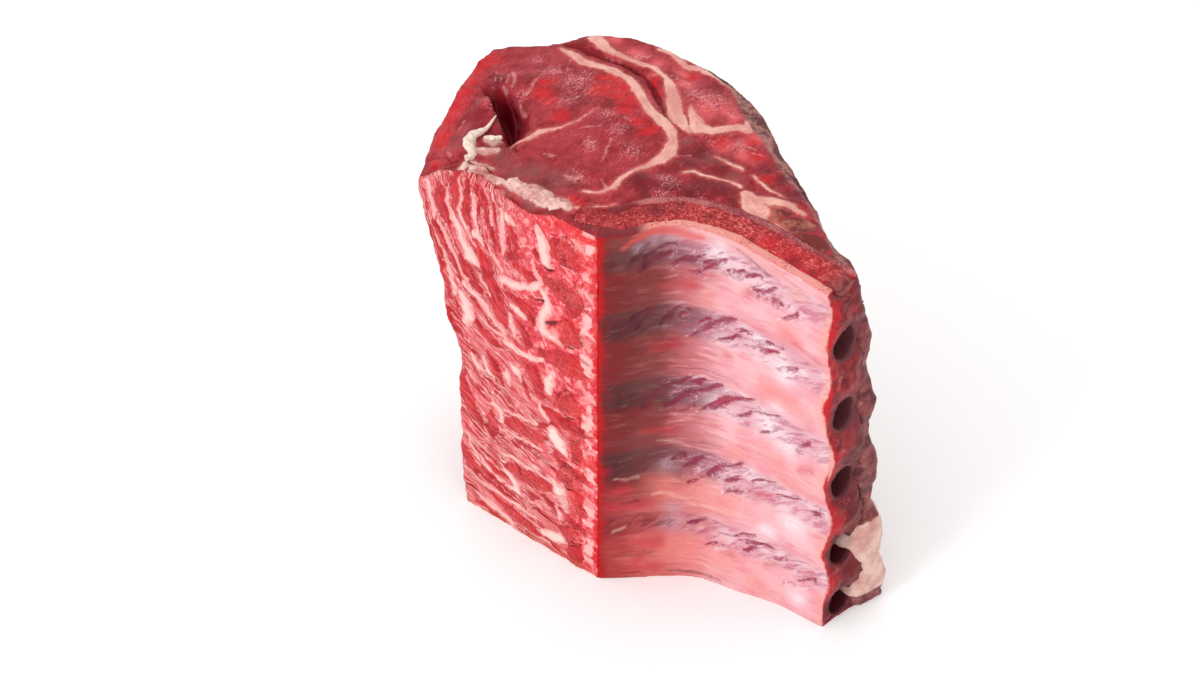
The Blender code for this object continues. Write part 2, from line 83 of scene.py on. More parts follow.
# Strokes on the upper cut: plan x, plan y, half width.
SEAM_FAT = (
    ((-2.15, 17.3, .1), (-1.5, 16.65, .26), (-.9, 15.95, .3), (.1, 15.4, .28), (1, 14.9, .28),
     (1.7, 14.25, .28), (2.2, 13.4, .3), (2.6, 12.1, .3), (3, 10.95, .33), (3.65, 10.1, .36),
     (4.15, 9.25, .32), (4.25, 8.3, .28), (3.95, 7.25, .42), (3.5, 6.6, .36), (2.7, 6, .16),
     (1.75, 5.4, .14), (1.2, 4.85, .14), (.9, 4.1, .18), (.2, 3.75, .12), (-.8, 3.8, .1)),
    ((-.1, 18.3, .45), (.8, 17, .28), (2, 16.1, .16), (3.4, 15.3, .18), (4, 14.3, .15), (4.2, 13.5, .34),
     (4.35, 12.4, .42), (4.35, 11.4, .46), (4.6, 10.4, .46), (4.9, 9.7, .25), (5.2, 9.2, .1)),
    ((5.3, 11.6, .08), (5.45, 10.7, .3), (5.7, 9.7, .5), (6.4, 9.5, .34), (7.2, 9.75, .2), (8, 10, .34),
     (8.5, 9.7, .3), (8.5, 10.6, .12)),
    ((3.7, 17.4, .15), (4.6, 16.7, .25), (5.1, 15.6, .2), (6, 15.5, .26), (6.9, 14.7, .18),
     (7.7, 13.8, .1)), ((5.2, 16.8, .15), (5.9, 16.2, .2)),
    ((4.7, 5.5, .05), (5.4, 5.7, .12), (6.2, 5.25, .1), (7.2, 4.9, .08), (7.8, 4.5, .15)),
    ((6.6, 7.1, .05), (7.3, 6.5, .1), (8, 6.2, .12)),
    ((8.6, 5.6, .06), (9.1, 4.8, .08), (9.7, 4.1, .1), (10.2, 3.7, .06)),
    ((8.2, 3.8, .4), (8.4, 2.9, .55), (8.9, 2.3, .5)),
    ((8.9, 3.4, .3), (9.8, 3, .34), (10.6, 2.8, .26), (11.1, 2.3, .18)), ((9.5, 1.2, .35), (10.1, .5, .2)),
    ((-1.5, 2.4, .1), (.2, 2.6, .05), (1, 2.75, .03)),
    ((0, 10.9, .02), (-1.2, 9.5, .04), (-2.2, 9.1, .07), (-2.7, 8.95, .16), (-3.3, 8.75, .21),
     (-3.8, 8.4, .15), (-4.2, 8.25, .1), (-4.9, 8.1, .08)),
)
WHITE_FAT = (
    ((-7.1, 8.2, .25), (-6.95, 7.4, .22), (-7.3, 7, .22), (-7.6, 6.5, .26), (-7.65, 6.1, .2)),
    ((-6.3, 8.5, .15), (-5.8, 8.25, .22), (-5.4, 8.35, .1)),
    ((-6.9, 7.6, .25), (-6.2, 7.5, .36), (-5.75, 7.55, .25)),
    ((-7.2, 6.8, .2), (-6.8, 6.2, .4), (-6.3, 6.1, .35), (-5.8, 6, .1)),
    ((-7.3, 5.8, .2), (-6.6, 5.4, .25), (-5.9, 5.15, .25), (-5.2, 4.8, .24), (-4.5, 4.45, .3),
     (-3.8, 4.1, .48), (-3.1, 3.7, .5), (-2.5, 3.2, .35), (-1.8, 2.9, .35), (-1.5, 2.4, .2)),
)
PALE_THREADS = (
    ((-5.9, 15, .03), (-5.9, 14.1, .06)), ((-5.5, 13.5, .04), (-5.2, 13, .08)),
    ((-5.2, 14.3, .03), (-5.3, 13.8, .05)), ((-4.95, 14.8, .08), (-4.8, 13.9, .1), (-4.9, 13.3, .04)),
    ((-4.5, 12, .03), (-4.3, 11.4, .07), (-4.1, 10.8, .07)),
    ((-4.1, 12.5, .08), (-3.6, 13.7, .05), (-3, 14.9, .02)),
    ((-6.9, 11.6, .03), (-6.1, 11.7, .06), (-5.7, 11.2, .04)), ((-5.7, 10.8, .05), (-5.45, 10.2, .06)),
    ((-5.5, 9.9, .03), (-5.4, 9.2, .04)), ((-1.6, 16.2, .03), (-1.8, 14.9, .04)),
    ((-1.6, 11.8, .02), (-.6, 12.5, .04), (-.2, 13.1, .02)),
    ((.8, 8.2, .04), (.5, 7.3, .07), (.25, 6.4, .03)), ((-3, 7.1, .03), (-2.7, 6.8, .08), (-2.3, 6.8, .02)),
    ((-1, 9, .02), (.3, 9.4, .03)), ((-.6, 7.4, .02), (-.3, 7.9, .04)), ((1.5, 10.2, .02), (1.9, 9.9, .04)),
    ((-6.9, 12.2, .03), (-6.3, 12.4, .06)), ((-6.6, 11.5, .02), (-5.9, 11.4, .06)),
    ((-8.5, 8.4, .03), (-8.3, 7.9, .06)), ((-7.9, 9.9, .02), (-7.6, 10.6, .05)),
    ((-6.1, 5.5, .05), (-5.9, 4.5, .06), (-5.1, 4.2, .05)), ((.1, 4.9, .05), (.5, 4.2, .08)),
    ((-1.9, 5.2, .04), (-1.3, 4.9, .12), (-.8, 5.1, .05)), ((7.8, 8.1, .04), (8.9, 7.9, .08)),
    ((8, 7.7, .03), (9.2, 7.4, .05)), ((4.3, 7, .04), (5.2, 7.4, .06)),
    ((5.3, 12.9, .05), (5.9, 12.5, .07), (7, 12.8, .03)), ((4.6, 14.4, .05), (5.3, 13.9, .03)),
)
OPEN_SEAMS = (
    ((-1.9, 17.7, .08), (-1, 17.5, .14), (-.4, 17, .18), (.5, 16.4, .13), (1.2, 16, .14), (2, 15.4, .12),
     (2.8, 14.7, .08), (3.2, 13.6, .12), (3.4, 12.7, .18), (3.7, 11.7, .12), (3.95, 10.7, .08),
     (4.35, 10.1, .05)),
    ((-6.4, 8.15, .05), (-5.8, 7.95, .1), (-5.3, 8, .12), (-4.9, 7.9, .12), (-4.5, 7.6, .05)),
)
GOUGE = (
    ((-6.2, 13.3, .15), (-5.8, 12.7, .28), (-5.3, 12, .38), (-4.85, 11.2, .48), (-4.65, 10.3, .55),
     (-4.65, 9.5, .48), (-4.75, 8.9, .3), (-5, 8.4, .15)),
)
DRY_RIM = (
    ((4.6, 17.2, .25), (6.6, 15.6, .35), (8, 13.8, .45), (8.9, 12, .7), (9.4, 10.3, .75), (10, 8.6, .6),
     (10.5, 6.9, .6), (11.1, 5.4, .6), (11.6, 4, .45), (12.2, 2, .35), (12.8, -.6, .35), (13.1, -2.4, .3)),
)
DARK_SPOTS = ((-.4, .9, .6), (-5.9, 14.2, .6), (-4.9, 8.1, .7), (8.4, 12.8, .7), (8, 12, .5),
              (8.8, 11.1, .5), (5.6, 7.4, .8), (6.9, 6.7, .8), (4.9, 6.6, .5), (2.3, 4.9, .7),
              (3.9, 4.5, .8), (5.4, 4.4, .8), (6.8, 4.1, .8), (7.3, 3.2, .5), (5, 3.7, .7), (2.6, 3.9, .5),
              (-5.2, 3.6, .5), (-4.6, 2.8, .45), (10.2, 5.2, .6), (-8.9, 6.4, .5), (-2.9, 4.7, .5),
              (10.9, 4.2, .5), (-6.2, 9.3, .25), (-9.8, 4.8, .6), (9.5, 6.2, .5))
ORANGE_SPOTS = ((-1.2, 2.6, .5), (-8.2, 12.2, .7), (-7.5, 14.3, .6), (-9.4, 8.4, .5), (-8.9, 10.3, .6),
                (-6.6, 15.8, .5), (.2, 12.9, .7), (1.3, 12.4, .6), (2.2, 10, .5), (.3, 14.2, .5),
                (-2.9, 13.7, .6), (-3.3, 12.6, .7), (-2.7, 11.7, .6), (.9, 14.1, .6), (1.5, 13.2, .8),
                (1.8, 11.9, .7), (1.6, 10.9, .5), (2.9, 9.2, .6), (3.4, 13.9, .35), (3.5, 13, .3),
                (-7, 15.3, .6), (-6.2, 16.4, .6), (-7.9, 13.2, .6), (-8.6, 11.4, .6), (-9, 9.4, .5),
                (-1, 3, .4), (7, 8.4, .7), (8.6, 8.4, .6), (9.1, 7.3, .5), (9.4, 5.4, .5),
                (-5.4, 4.9, .35), (5.6, 15, .4), (-2, 10.2, .6))
ROSY_SPOTS = ((-3.7, 16, 1), (-2.2, 16.4, .7), (.6, 18.2, .8), (2.2, 17.3, .8), (3.6, 16.3, .7),
              (6.1, 14.4, .6), (-.4, 9.6, 1), (-1.8, 8.2, .9), (1.2, 6.6, .5), (-3.4, 7.9, .7),
              (8.1, 8.2, .9), (4.6, 15.6, .5), (1.6, 16.9, .5), (-.8, 6.4, .9), (2.4, 8.1, .6))
PINK_SPOTS = ((2.2, 16.9, .5), (1, 18.2, .5), (3.4, 15.9, .5), (3.2, 14.6, .35), (6.3, 11.4, .8),
              (7.4, 11.6, .7), (7.7, 10.9, .6), (8.9, 9, .5), (7.2, 7.7, .6), (8.3, 7.2, .6),
              (5.1, 13.9, .6), (5, 15, .4))
BROWN_SPOTS = ((-5.2, 6.9, .8), (-4.6, 5.9, .8), (-3.5, 5.6, .9), (-2.3, 5, .9), (-3.9, 3.4, .4),
               (-2.8, 2.2, .3), (3.9, 11.9, .35), (4.7, 10.8, .3), (5, 8.6, .4), (6.2, 6.9, .6),
               (7.6, 5.5, .5), (12.4, -1.8, .5))
TAN_SPOTS = ((8.3, 3.3, .7), (9.2, 3.1, .7), (10.2, 2.6, .8), (9.2, 2, .7), (11.2, 1.2, .8),
             (10.3, 1.2, .8), (11.8, -.2, .7), (11.1, 0, .6), (8.2, 2.3, .4), (12.3, -1.4, .5))
RED_LUMPS = ((-6.6, 4.9, .5), (-5.4, 4.5, .4), (-7.4, 5.6, .4), (-4.4, 3.9, .25))
FLECKY_SPOTS = ((-1.2, 13.6, 1.1), (-1.5, 12, .8), (-.6, 14.6, .7), (-3.6, 16.1, .6), (6.7, 12, 1.1),
                (5.6, 12.9, .7), (4.2, 14.6, .5), (-6.6, 11.8, .6), (6.6, 8.4, .8), (8, 7.9, .9),
                (3.6, 3.6, .6), (5.7, 3.3, .4), (2.2, 16.4, .5), (3.9, 4.6, .6), (-5.4, 14.4, .5),
                (-1.3, 5, .6), (-6, 10.9, .5), (-2.2, 3, .5), (5, 13.7, .5), (7.6, 11.2, .5),
                (1.9, 7.4, .8), (-.5, 7.6, .5), (1.4, 9.2, .8), (-4.4, 12.6, .6), (.6, 10.4, .6),
                (-2.6, 14.9, .7), (7.2, 9.4, .5))
# Bulges and hollows of the upper cut: plan x, plan y and radius, then the height in metres.
BULGES = ((-6, 11, .7, .003), (-5.8, 10, .6, .003), (-5.6, 9.2, .4, .0022), (-6.6, 4.9, .5, .0018),
          (-5.4, 4.5, .4, .0014), (-6.4, 11.3, .7, .004), (-3.9, 14, .9, .0014), (-7.6, 13.3, .8, .0016),
          (3.9, 4.5, .8, .0012), (2.2, 4.9, .6, .0012), (6.8, 4.2, .8, .0016), (9.8, 2.9, 1, .002),
          (11.3, .8, .9, .0012), (-3.6, 4.2, .6, .002), (-6.6, 5, .5, .0016), (6.6, 12.2, 1.2, .0014),
          (7.9, 7.9, 1, .0014), (-7.2, 8.8, .5, .002), (-1, 9.5, 3, .0014), (5.4, 7.4, .7, -.0016),
          (8.3, 11.6, .7, -.001), (-4.4, 6.4, 1.2, -.0022), (-6, 9.2, .4, -.002))


def linked(name, data):
    """A new object of this data, in the scene."""
    made = bpy.data.objects.new(name, data)
    bpy.context.scene.collection.objects.link(made)
    return made


def remeshed(shape, fineness):
    """A closed mesh of even small faces over a rough one."""
    mesh = bpy.data.meshes.new("rough")
    shape.to_mesh(mesh)
    shape.free()
    rough = linked("rough", mesh)
    skin = rough.modifiers.new("skin", "REMESH")
    skin.mode = "VOXEL"
    skin.voxel_size = fineness
    bpy.context.view_layer.update()
    fine = bpy.data.meshes.new_from_object(rough.evaluated_get(bpy.context.evaluated_depsgraph_get()))
    bpy.data.objects.remove(rough)
    shape = bmesh.new()
    shape.from_mesh(fine)
    return shape


def keep_largest(shape):
    """Drops all but the largest connected part of a mesh."""
    unseen = set(shape.verts)
    parts = []
    while unseen:
        part = {unseen.pop()}
        edge = list(part)
        while edge:
            near = {e.other_vert(v) for v in edge for e in v.link_edges} - part
            part |= near
            edge = list(near)
        unseen -= part
        parts.append(part)
    parts.sort(key=len)
    for part in parts[:-1]:
        bmesh.ops.delete(shape, geom=list(part), context="VERTS")


def soften(shape):
    """Moves each point half way to the middle of its neighbours."""
    axes = {"use_axis_x": True, "use_axis_y": True, "use_axis_z": True}
    bmesh.ops.smooth_vert(shape, verts=shape.verts, factor=0.5, **axes)


def fine_copy(nodes, fineness, let_out=LET_OUT):
    """One closed fine mesh over copies of CAD nodes that have grown together."""
    shape = bmesh.new()
    for node in nodes:
        shape.from_mesh(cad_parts[node].data)
    bmesh.ops.remove_doubles(shape, verts=shape.verts, dist=0.00001)
    shape.normal_update()
    for vert in shape.verts:
        vert.co += vert.normal * let_out
    shape = remeshed(shape, fineness)
    keep_largest(shape)
    soften(shape)
    return shape


def places(shape):
    """Each point of a mesh from the near corner, and its normal."""
    shape.normal_update()
    points = np.array([vert.co[:] for vert in shape.verts]) - NEAR_CORNER
    normals = np.array([vert.normal[:] for vert in shape.verts])
    return points, normals


def box_of(points):
    """The middle of the points' box, and half its size."""
    low = points.min(axis=0)
    high = points.max(axis=0)
    return (high + low) / 2, (high - low) / 2


def rung_at(height):
    """How far up the ladder of rib tips a height lies, counted in ribs."""
    return np.interp(height, RIB_TIP_LEVELS, range(len(RIB_TIP_LEVELS)))


def lumps(points, size, octaves=3, seed=0.0):
    """Smooth noise at each point, about -1 to 1, with lumps of this size."""
    return np.array([noise.fractal(place, 1.0, 2.0, octaves) for place in (points / size + seed).tolist()])


def wobble(points, size, seeds, amount, octaves=3):
    """A wavering shift in two directions at each point, from smooth noise."""
    return np.stack([lumps(points, size, octaves, seed) for seed in seeds], axis=1) * amount


def rise(value, low, high):
    """0 below low, 1 above high and a smooth step between."""
    share = np.clip((value - low) / (high - low), 0, 1)
    return share * share * (3 - 2 * share)


def depth_in(face, strokes):
    """How far each point of a face lies inside the nearest stroke, in centimetres, negative outside."""
    best = np.full(len(face), -5.0)
    for stroke in strokes:
        for (x0, y0, w0), (x1, y1, w1) in zip(stroke, stroke[1:]):
            run = np.array([x1 - x0, y1 - y0])
            t = np.clip(((face - (x0, y0)) @ run) / (run @ run), 0, 1)
            away = np.hypot(face[:, 0] - x0 - run[0] * t, face[:, 1] - y0 - run[1] * t)
            best = np.maximum(best, w0 + (w1 - w0) * t - away)
    return best


def patch(face, spots):
    """Soft round patches, 1 in the middle of a spot and 0 well outside."""
    best = np.zeros(len(face))
    for x, y, radius in spots:
        best = np.maximum(best, np.exp(-((face[:, 0] - x) ** 2 + (face[:, 1] - y) ** 2) / radius ** 2))
    return best


def on_the_cut(points):
    """Plan centimetres of each point, taken up along the leaning roast to the upper cut."""
    down = 1 - points[:, 2] / HEIGHT
    guess = points[:, 0] - down * (LEAN[0] + LEAN[1] * points[:, 0] + LEAN[2] * points[:, 0] ** 2)
    free = rise(np.hypot(guess, points[:, 1]), 0, LEAN_FREE_RADIUS)
    lean = down * (LEAN[0] + LEAN[1] * guess + LEAN[2] * guess ** 2) * free
    return np.stack([points[:, 0] - lean, points[:, 1]], axis=1) / CM


def cut_paint(points):
    """The painted seams and spots of the sawn ends, for any piece that shows there."""
    plan = on_the_cut(points)
    plan += wobble(points, 0.009, (12.0, 15.0), 0.09)
    loose = plan + wobble(points, 0.013, (22.0, 25.0), 0.35)
    strokes = {"fat": SEAM_FAT, "white_fat": WHITE_FAT, "threads": PALE_THREADS, "seam": OPEN_SEAMS,
               "gouge": GOUGE, "rim": DRY_RIM}
    spots = {"dark": DARK_SPOTS, "orange": ORANGE_SPOTS, "rosy": ROSY_SPOTS, "pink": PINK_SPOTS,
             "brown": BROWN_SPOTS, "tan": TAN_SPOTS, "flecky": FLECKY_SPOTS}
    paint = {label: depth_in(plan, lines) for label, lines in strokes.items()}
    paint.update({label: patch(loose, rounds) for label, rounds in spots.items()})
    paint["red_lump"] = patch(plan, RED_LUMPS)
    return paint


def raised(paint, heights):
    """How far painted strokes stand up or lie sunk, in metres."""
    return sum(high * rise(paint[label], low, full) for label, (high, low, full) in heights.items())


def cut_relief(points, paint):
    """How far the sawn end's surface stands up, in metres."""
    plan = on_the_cut(points)
    lift = raised(paint, CUT_HEIGHTS)
    for x, y, radius, high in BULGES:
        lift += BULGE_GAIN * high * patch(plan, ((x, y, radius),))
    return lift + 0.0006 * lumps(points, 0.010, seed=2.0)


def finished(name, shape, moved, paint):
    """A smooth object of the mesh with its points moved, and its painted attributes."""
    for vert, place in zip(shape.verts, (moved + NEAR_CORNER).tolist()):
        vert.co = place
    mesh = bpy.data.meshes.new(name)
    shape.to_mesh(mesh)
    shape.free()
    for label, values in paint.items():
        mesh.attributes.new(label, "FLOAT", "POINT").data.foreach_set("value", values.astype(np.float32))
    mesh.shade_smooth()
    piece = linked(name, mesh)
    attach(piece, "root")
    return piece


class Feed:
    """A socket that feeds others. Sums and products of feeds add Math nodes."""

    def __init__(self, socket):
        self.socket = socket

    def node(self, kind, settings, sockets, output=0):
        """A new node with its settings made and its sockets fed."""
        tree = self.socket.id_data
        made = tree.nodes.new(kind)
        for label, value in settings.items():
            setattr(made, label, value)
        for key, value in sockets.items():
            if isinstance(value, Feed):
                tree.links.new(value.socket, made.inputs[key])
            else:
                made.inputs[key].default_value = value
        return Feed(made.outputs[output])

    def math(self, operation, *values):
        return self.node("ShaderNodeMath", {"operation": operation}, dict(enumerate(values)))

    def __add__(self, other):
        return self.math("ADD", self, other)

    __radd__ = __add__

    def __sub__(self, other):
        return self.math("SUBTRACT", self, other)

    def __rsub__(self, other):
        return self.math("SUBTRACT", other, self)

    def __mul__(self, other):
        return self.math("MULTIPLY", self, other)

    __rmul__ = __mul__

    def step(self, low, high):
        """0 below low, 1 above high and a smooth step between."""
        return self.node("ShaderNodeMapRange", {"interpolation_type": "SMOOTHSTEP"},
                         {"Value": self, "From Min": low, "From Max": high})

    def sway(self, amount):
        """This noise, swung to both sides of zero."""
        return (self - 0.5) * amount

    def line_at(self, middle, half, soft):
        """1 where this is within half of the middle, and a smooth step down to 0 outside."""
        return 1.0 - (self.math("ABSOLUTE", self - middle) - half).step(0.0, soft)

    def grain(self, size, detail=3.0, roughness=0.5, distortion=0.0):
        """Noise from 0 to 1 over this place, with spots of the given size."""
        return self.node("ShaderNodeTexNoise", {}, {
            "Vector": self, "Scale": 1 / size, "Detail": detail, "Roughness": roughness,
            "Distortion": distortion})

    def along(self, direction):
        """How far this place lies along a direction."""
        return self.node("ShaderNodeVectorMath", {"operation": "DOT_PRODUCT"},
                         {0: self, 1: direction}, "Value")

    def over(self, under, colour):
        """A colour laid over another where this mask is 1."""
        return self.node("ShaderNodeMix", {"data_type": "RGBA"}, {0: self, 6: lit(under), 7: lit(colour)}, 2)


def vector(x, y, z):
    """A vector of feeds, of which at least x is one."""
    return x.node("ShaderNodeCombineXYZ", {}, {0: x, 1: y, 2: z})


def lit(colour):
    """A feed as it is, or the base colour that shows as this screen colour in the studio's light."""
    if isinstance(colour, Feed):
        return colour
    shares = [value / 255 for value in colour]
    linear = [share / 12.92 if share < 0.0404 else ((share + 0.055) / 1.055) ** 2.4 for share in shares]
    return (*[value / STUDIO_LIGHT for value in linear], 1.0)


def layered(colour, *layers):
    """A colour with others laid over it, each where its mask is 1."""
    for mask, upper in layers:
        colour = mask.over(colour, upper)
    return colour


def fill(node, sockets):
    """Sets the values of a node's sockets."""
    for label, value in sockets.items():
        node.inputs[label].default_value = value


class Finish:
    """A wet material whose colour, roughness and bump are built from feeds."""

    def __init__(self, name, deep, glow, coat):
        self.material = bpy.data.materials.new(name)
        self.material.use_nodes = True
        self.shader = self.material.node_tree.nodes["Principled BSDF"]
        place = self.material.node_tree.nodes.new("ShaderNodeTexCoord")
        self.place = Feed(place.outputs["Object"])
        fill(self.shader, {
            "Subsurface Weight": glow, "Subsurface Radius": (1.0, 0.25, 0.2), "Subsurface Scale": deep,
            "Specular IOR Level": 0.10, "Coat Weight": coat, "Coat Roughness": 0.12})

    def painted(self, label):
        """A painted attribute of the mesh."""
        return self.place.node("ShaderNodeAttribute", {"attribute_name": label}, {}, 2)

    def wear(self, colour, roughness, height, distance):
        """Feeds the colour, the roughness and the bump."""
        links = self.material.node_tree.links
        bump = self.place.node("ShaderNodeBump", {}, {"Height": height, "Distance": distance})
        links.new(colour.socket, self.shader.inputs["Base Color"])
        links.new(roughness.socket, self.shader.inputs["Roughness"])
        links.new(bump.socket, self.shader.inputs["Normal"])


def sawn_end(finish):
    """Colour and height of lean meat, fat and gristle on a sawn end, and its fine grain."""
    spot = finish.place
    painted = finish.painted
    ragged = spot.grain(0.0032, 4.0, 0.7) - 0.5
    blotch = spot.grain(0.014, 4.0, 0.6)
    fine = spot.grain(0.0010, 3.0, 0.6)
    fibre_across = spot.along((-0.83, 0.56, 0.0))
    fibre_run = spot.along((0.56, 0.83, 0.0)) * 0.35
    fibres = vector(fibre_run, fibre_across, spot.along((0, 0, 1))).grain(0.0016, 4.0, 0.65, 0.4)
    flecky = (painted("flecky") * 0.8 + blotch.sway(1.5) + 0.3).step(0.1, 1.4)
    flecks = (fibres + flecky * 0.08).step(0.54, 0.66)
    speckle = (fine + flecky * 0.11).step(0.60, 0.68)
    tan = (painted("tan") + ragged * 0.5).step(0.35, 0.6)
    tan_colour = (blotch + ragged * 0.3).step(0.38, 0.56).over((192, 112, 92), (112, 44, 42))
    seam = (painted("seam") + ragged * 0.10).step(-0.05, 0.05)
    gouge = painted("gouge")
    threads = (painted("threads") + ragged * 0.36).step(-0.08, 0.10)
    lean = layered(
        (blotch + fibres.sway(0.35)).step(0.38, 0.60).over((140, 25, 35), (172, 46, 56)),
        (painted("rosy") * 0.5, (186, 62, 74)),
        (painted("pink") * 0.85, (242, 102, 104)),
        ((painted("orange") + fibres.sway(1.2)).step(0.0, 1.0) * 0.75, (218, 26, 32)),
        (painted("brown") * 0.85, (142, 72, 72)),
        (painted("dark") * 0.8, (104, 24, 36)),
        (painted("red_lump") * 0.8, (176, 30, 40)),
        (flecks * (flecky * 0.6 + 0.10), (220, 108, 118)),
        (speckle * (flecky * 0.6 + 0.03), (246, 176, 180)),
        (tan * 0.9, tan_colour),
        ((1.0 - fibres).step(0.56, 0.70) * 0.4, (104, 20, 32)),
        (seam, (134, 24, 32)),
        # The gouge is laid darker red, partly the meat and partly painted shade in the hollow.
        (gouge.step(-0.55, 0.0) * 0.8, (136, 20, 36)),
        (gouge.step(-0.1, 0.3), (112, 10, 26)),
        (threads * 0.7, (230, 150, 150)))
    fat = painted("fat")
    lines = vector(fat * 0.014, spot.along((1, 0, 0)) * 0.15, spot.along((0, 1, 0)) * 0.15).grain(0.0016, 3.0)
    fat_colour = layered(
        (lines.sway(0.6) + blotch).step(0.32, 0.66).over((248, 190, 174), (226, 150, 140)),
        (fine.step(0.55, 0.7) * 0.25, (253, 222, 208)))
    fat_mask = (fat + ragged * 0.30).step(-0.06, 0.08)
    white = painted("white_fat") + ragged * 0.3
    crumbs = spot.grain(0.0040, 4.0, 0.7)
    gristle = layered(
        (blotch * 0.6 + crumbs * 0.5).step(0.46, 0.64).over((246, 206, 196), (200, 132, 124)),
        (crumbs.step(0.55, 0.68) * 0.6, (253, 232, 226)))
    dry = (painted("rim") + ragged * 0.4).step(-0.1, 0.25)
    dry_colour = (blotch + ragged * 0.8).step(0.40, 0.62).over((92, 48, 52), (176, 126, 116))
    colour = layered(
        lean,
        ((fat + ragged * 0.6).step(-0.30, 0.05) * 0.55, (218, 104, 102)),
        (fat_mask * 0.94, fat_colour),
        (white.step(-0.3, 0.0) * 0.5, (190, 104, 98)),
        (white.step(-0.06, 0.08) * 0.95, gristle),
        (dry * 0.85, dry_colour))
    height = fibres * 0.45 + fine * 0.25 + fat_mask * 0.2 + lines * 0.15 - seam * 0.3
    return colour, height, fine


def dried_skin(finish):
    """Colour and height of the outside: fat, dry lean darkened as painted shade on the right side, fresh
    lean, and the pale lobe by the rib tips.
    """
    spot = finish.place
    painted = finish.painted
    patches = spot.grain(0.045, 6.0, 0.68, 0.4)
    mottle = spot.grain(0.012, 4.0, 0.6)
    flakes = spot.grain(0.004, 4.0, 0.7)
    upright = vector(spot.along((0, 0, 1)) * 0.10, spot.along((1, 0, 0)), spot.along((0, 1, 0)))
    upright = upright.grain(0.0024, 4.0, 0.65, 0.3)
    rib_run = spot.along((0.35, 0.94, 0.0)) * 0.12
    round_ribs = vector(rib_run, spot.along((0.94, -0.35, 0.0)) * 0.3, spot.along((0, 0, 1)))
    round_ribs = round_ribs.grain(0.0035, 4.0, 0.65, 0.4)
    right = painted("right")
    left = painted("left")
    near_tips = painted("near_tips")
    bare = patches - 0.5 + round_ribs.sway(0.16) + flakes.sway(0.16)
    bare = bare + right * 0.12 + near_tips * 0.22 + left * 0.5 - 0.08
    crease = mottle.line_at(0.47, 0.002, 0.012)
    fat_skin = layered(
        (mottle + flakes.sway(0.4)).step(0.36, 0.64).over((242, 200, 180), (228, 168, 152)),
        (crease * 0.35, (196, 112, 104)),
        ((1.0 - patches + mottle.sway(0.4)).step(0.60, 0.72) * 0.5, (250, 222, 204)))
    round_ribs = round_ribs + near_tips * (mottle - round_ribs) * 0.8
    # Dry lean, laid dark and greyish on the right side as painted shade, since that side faces away from the
    # key light.
    dry_lean_in_painted_shade = layered(
        (round_ribs + flakes.sway(0.5)).step(0.36, 0.62).over((92, 38, 44), (152, 78, 78)),
        ((flakes + round_ribs.sway(0.6)).step(0.60, 0.70) * 0.5, (196, 140, 130)))
    silver = (patches + upright.sway(0.3)).step(0.58, 0.66) * left
    fresh_lean = layered(
        (upright + mottle.sway(0.5)).step(0.36, 0.64).over((138, 26, 34), (184, 58, 64)),
        (upright.step(0.62, 0.70) * 0.5, (216, 120, 120)),
        (silver * 0.5, (222, 168, 172)))
    lobe_colour = (mottle + flakes.sway(0.3)).step(0.34, 0.66).over((244, 204, 192), (214, 156, 146))
    in_lobe = painted("lobe") + flakes.sway(0.5)
    colour = layered(
        fat_skin,
        (bare.step(-0.07, 0.0) * 0.7, (206, 124, 116)),
        (bare.step(-0.01, 0.03), right.over(fresh_lean, dry_lean_in_painted_shade)),
        (in_lobe.step(0.1, 0.5) * 0.6, (158, 84, 80)),
        ((in_lobe + mottle.sway(0.5)).step(0.4, 0.6) * 0.95, lobe_colour))
    height = bare.step(-0.02, 0.03) * (upright * 0.4 + round_ribs * 0.3 - 0.5)
    return colour, height + mottle * 0.5 + flakes * 0.3 - crease * 0.2


shape = fine_copy([
    "loin_eye", "spine_strip_muscle", "cap_muscle", "upper_side_muscle", "lower_side_muscle", "rib_muscle",
    "seam_fat"], MEAT_FINENESS)
shape.normal_update()
upper = [edge for edge in shape.edges
         if all(vert.co.z > HEIGHT - FINER_BAND and vert.normal.z > 0.35 for vert in edge.verts)]
bmesh.ops.subdivide_edges(shape, edges=upper, cuts=1, use_grid_fill=True)
soften(shape)
points, normals = places(shape)
paint = cut_paint(points)
in_gouge = rise(paint["gouge"], -0.9, -0.5) * rise(points[:, 2], 0.24, 0.25)
top_cut = np.maximum(rise(normals[:, 2], 0.3, 0.6), in_gouge)
foot_cut = rise(-normals[:, 2], 0.5, 0.8)
towards_tips = points @ TIP_OUT
ragged_edge = 0.004 * lumps(points, 0.012, seed=41.0) + 0.018 * lumps(points, 0.030, seed=43.0)
lobe = rise(towards_tips + ragged_edge, LOBE_EDGE, LOBE_EDGE + 0.010)
lobe *= rise(points[:, 2], 0.004, 0.020) * rise(LOBE_TOP - points[:, 2] + ragged_edge, 0, 0.012)
near_tips = rise(towards_tips, *NEAR_TIPS)
scallops = np.cos(2 * math.pi * rung_at(points[:, 2])) * near_tips
outer = 0.0016 * lumps(points, 0.026) + SCALLOP_HIGH * scallops
outer += (LOBE_THICK + 0.0012 * lumps(points, 0.012, seed=51.0)) * lobe
outer += 0.0012 * lumps(points, 0.014, seed=61.0) * rise(points[:, 0], 0.08, 0.11)
outer *= (1 - foot_cut) * (1 - top_cut)
moved = points + normals * outer[:, None]
moved[:, 2] += cut_relief(points, paint) * top_cut * rise(normals[:, 2], 0.2, 0.5)
paint["cut"] = np.maximum(top_cut, foot_cut)
paint["right"] = rise(points[:, 0], *RIGHT_SIDE)
paint["left"] = rise(0.004 * lumps(points, 0.02, seed=71.0) - points[:, 0], *LEFT_SIDE)
paint["left"] *= rise(points[:, 1], 0.03, 0.05)
paint["lobe"] = lobe
paint["near_tips"] = near_tips
muscles_and_fat = finished("muscles_and_fat", shape, moved, paint)

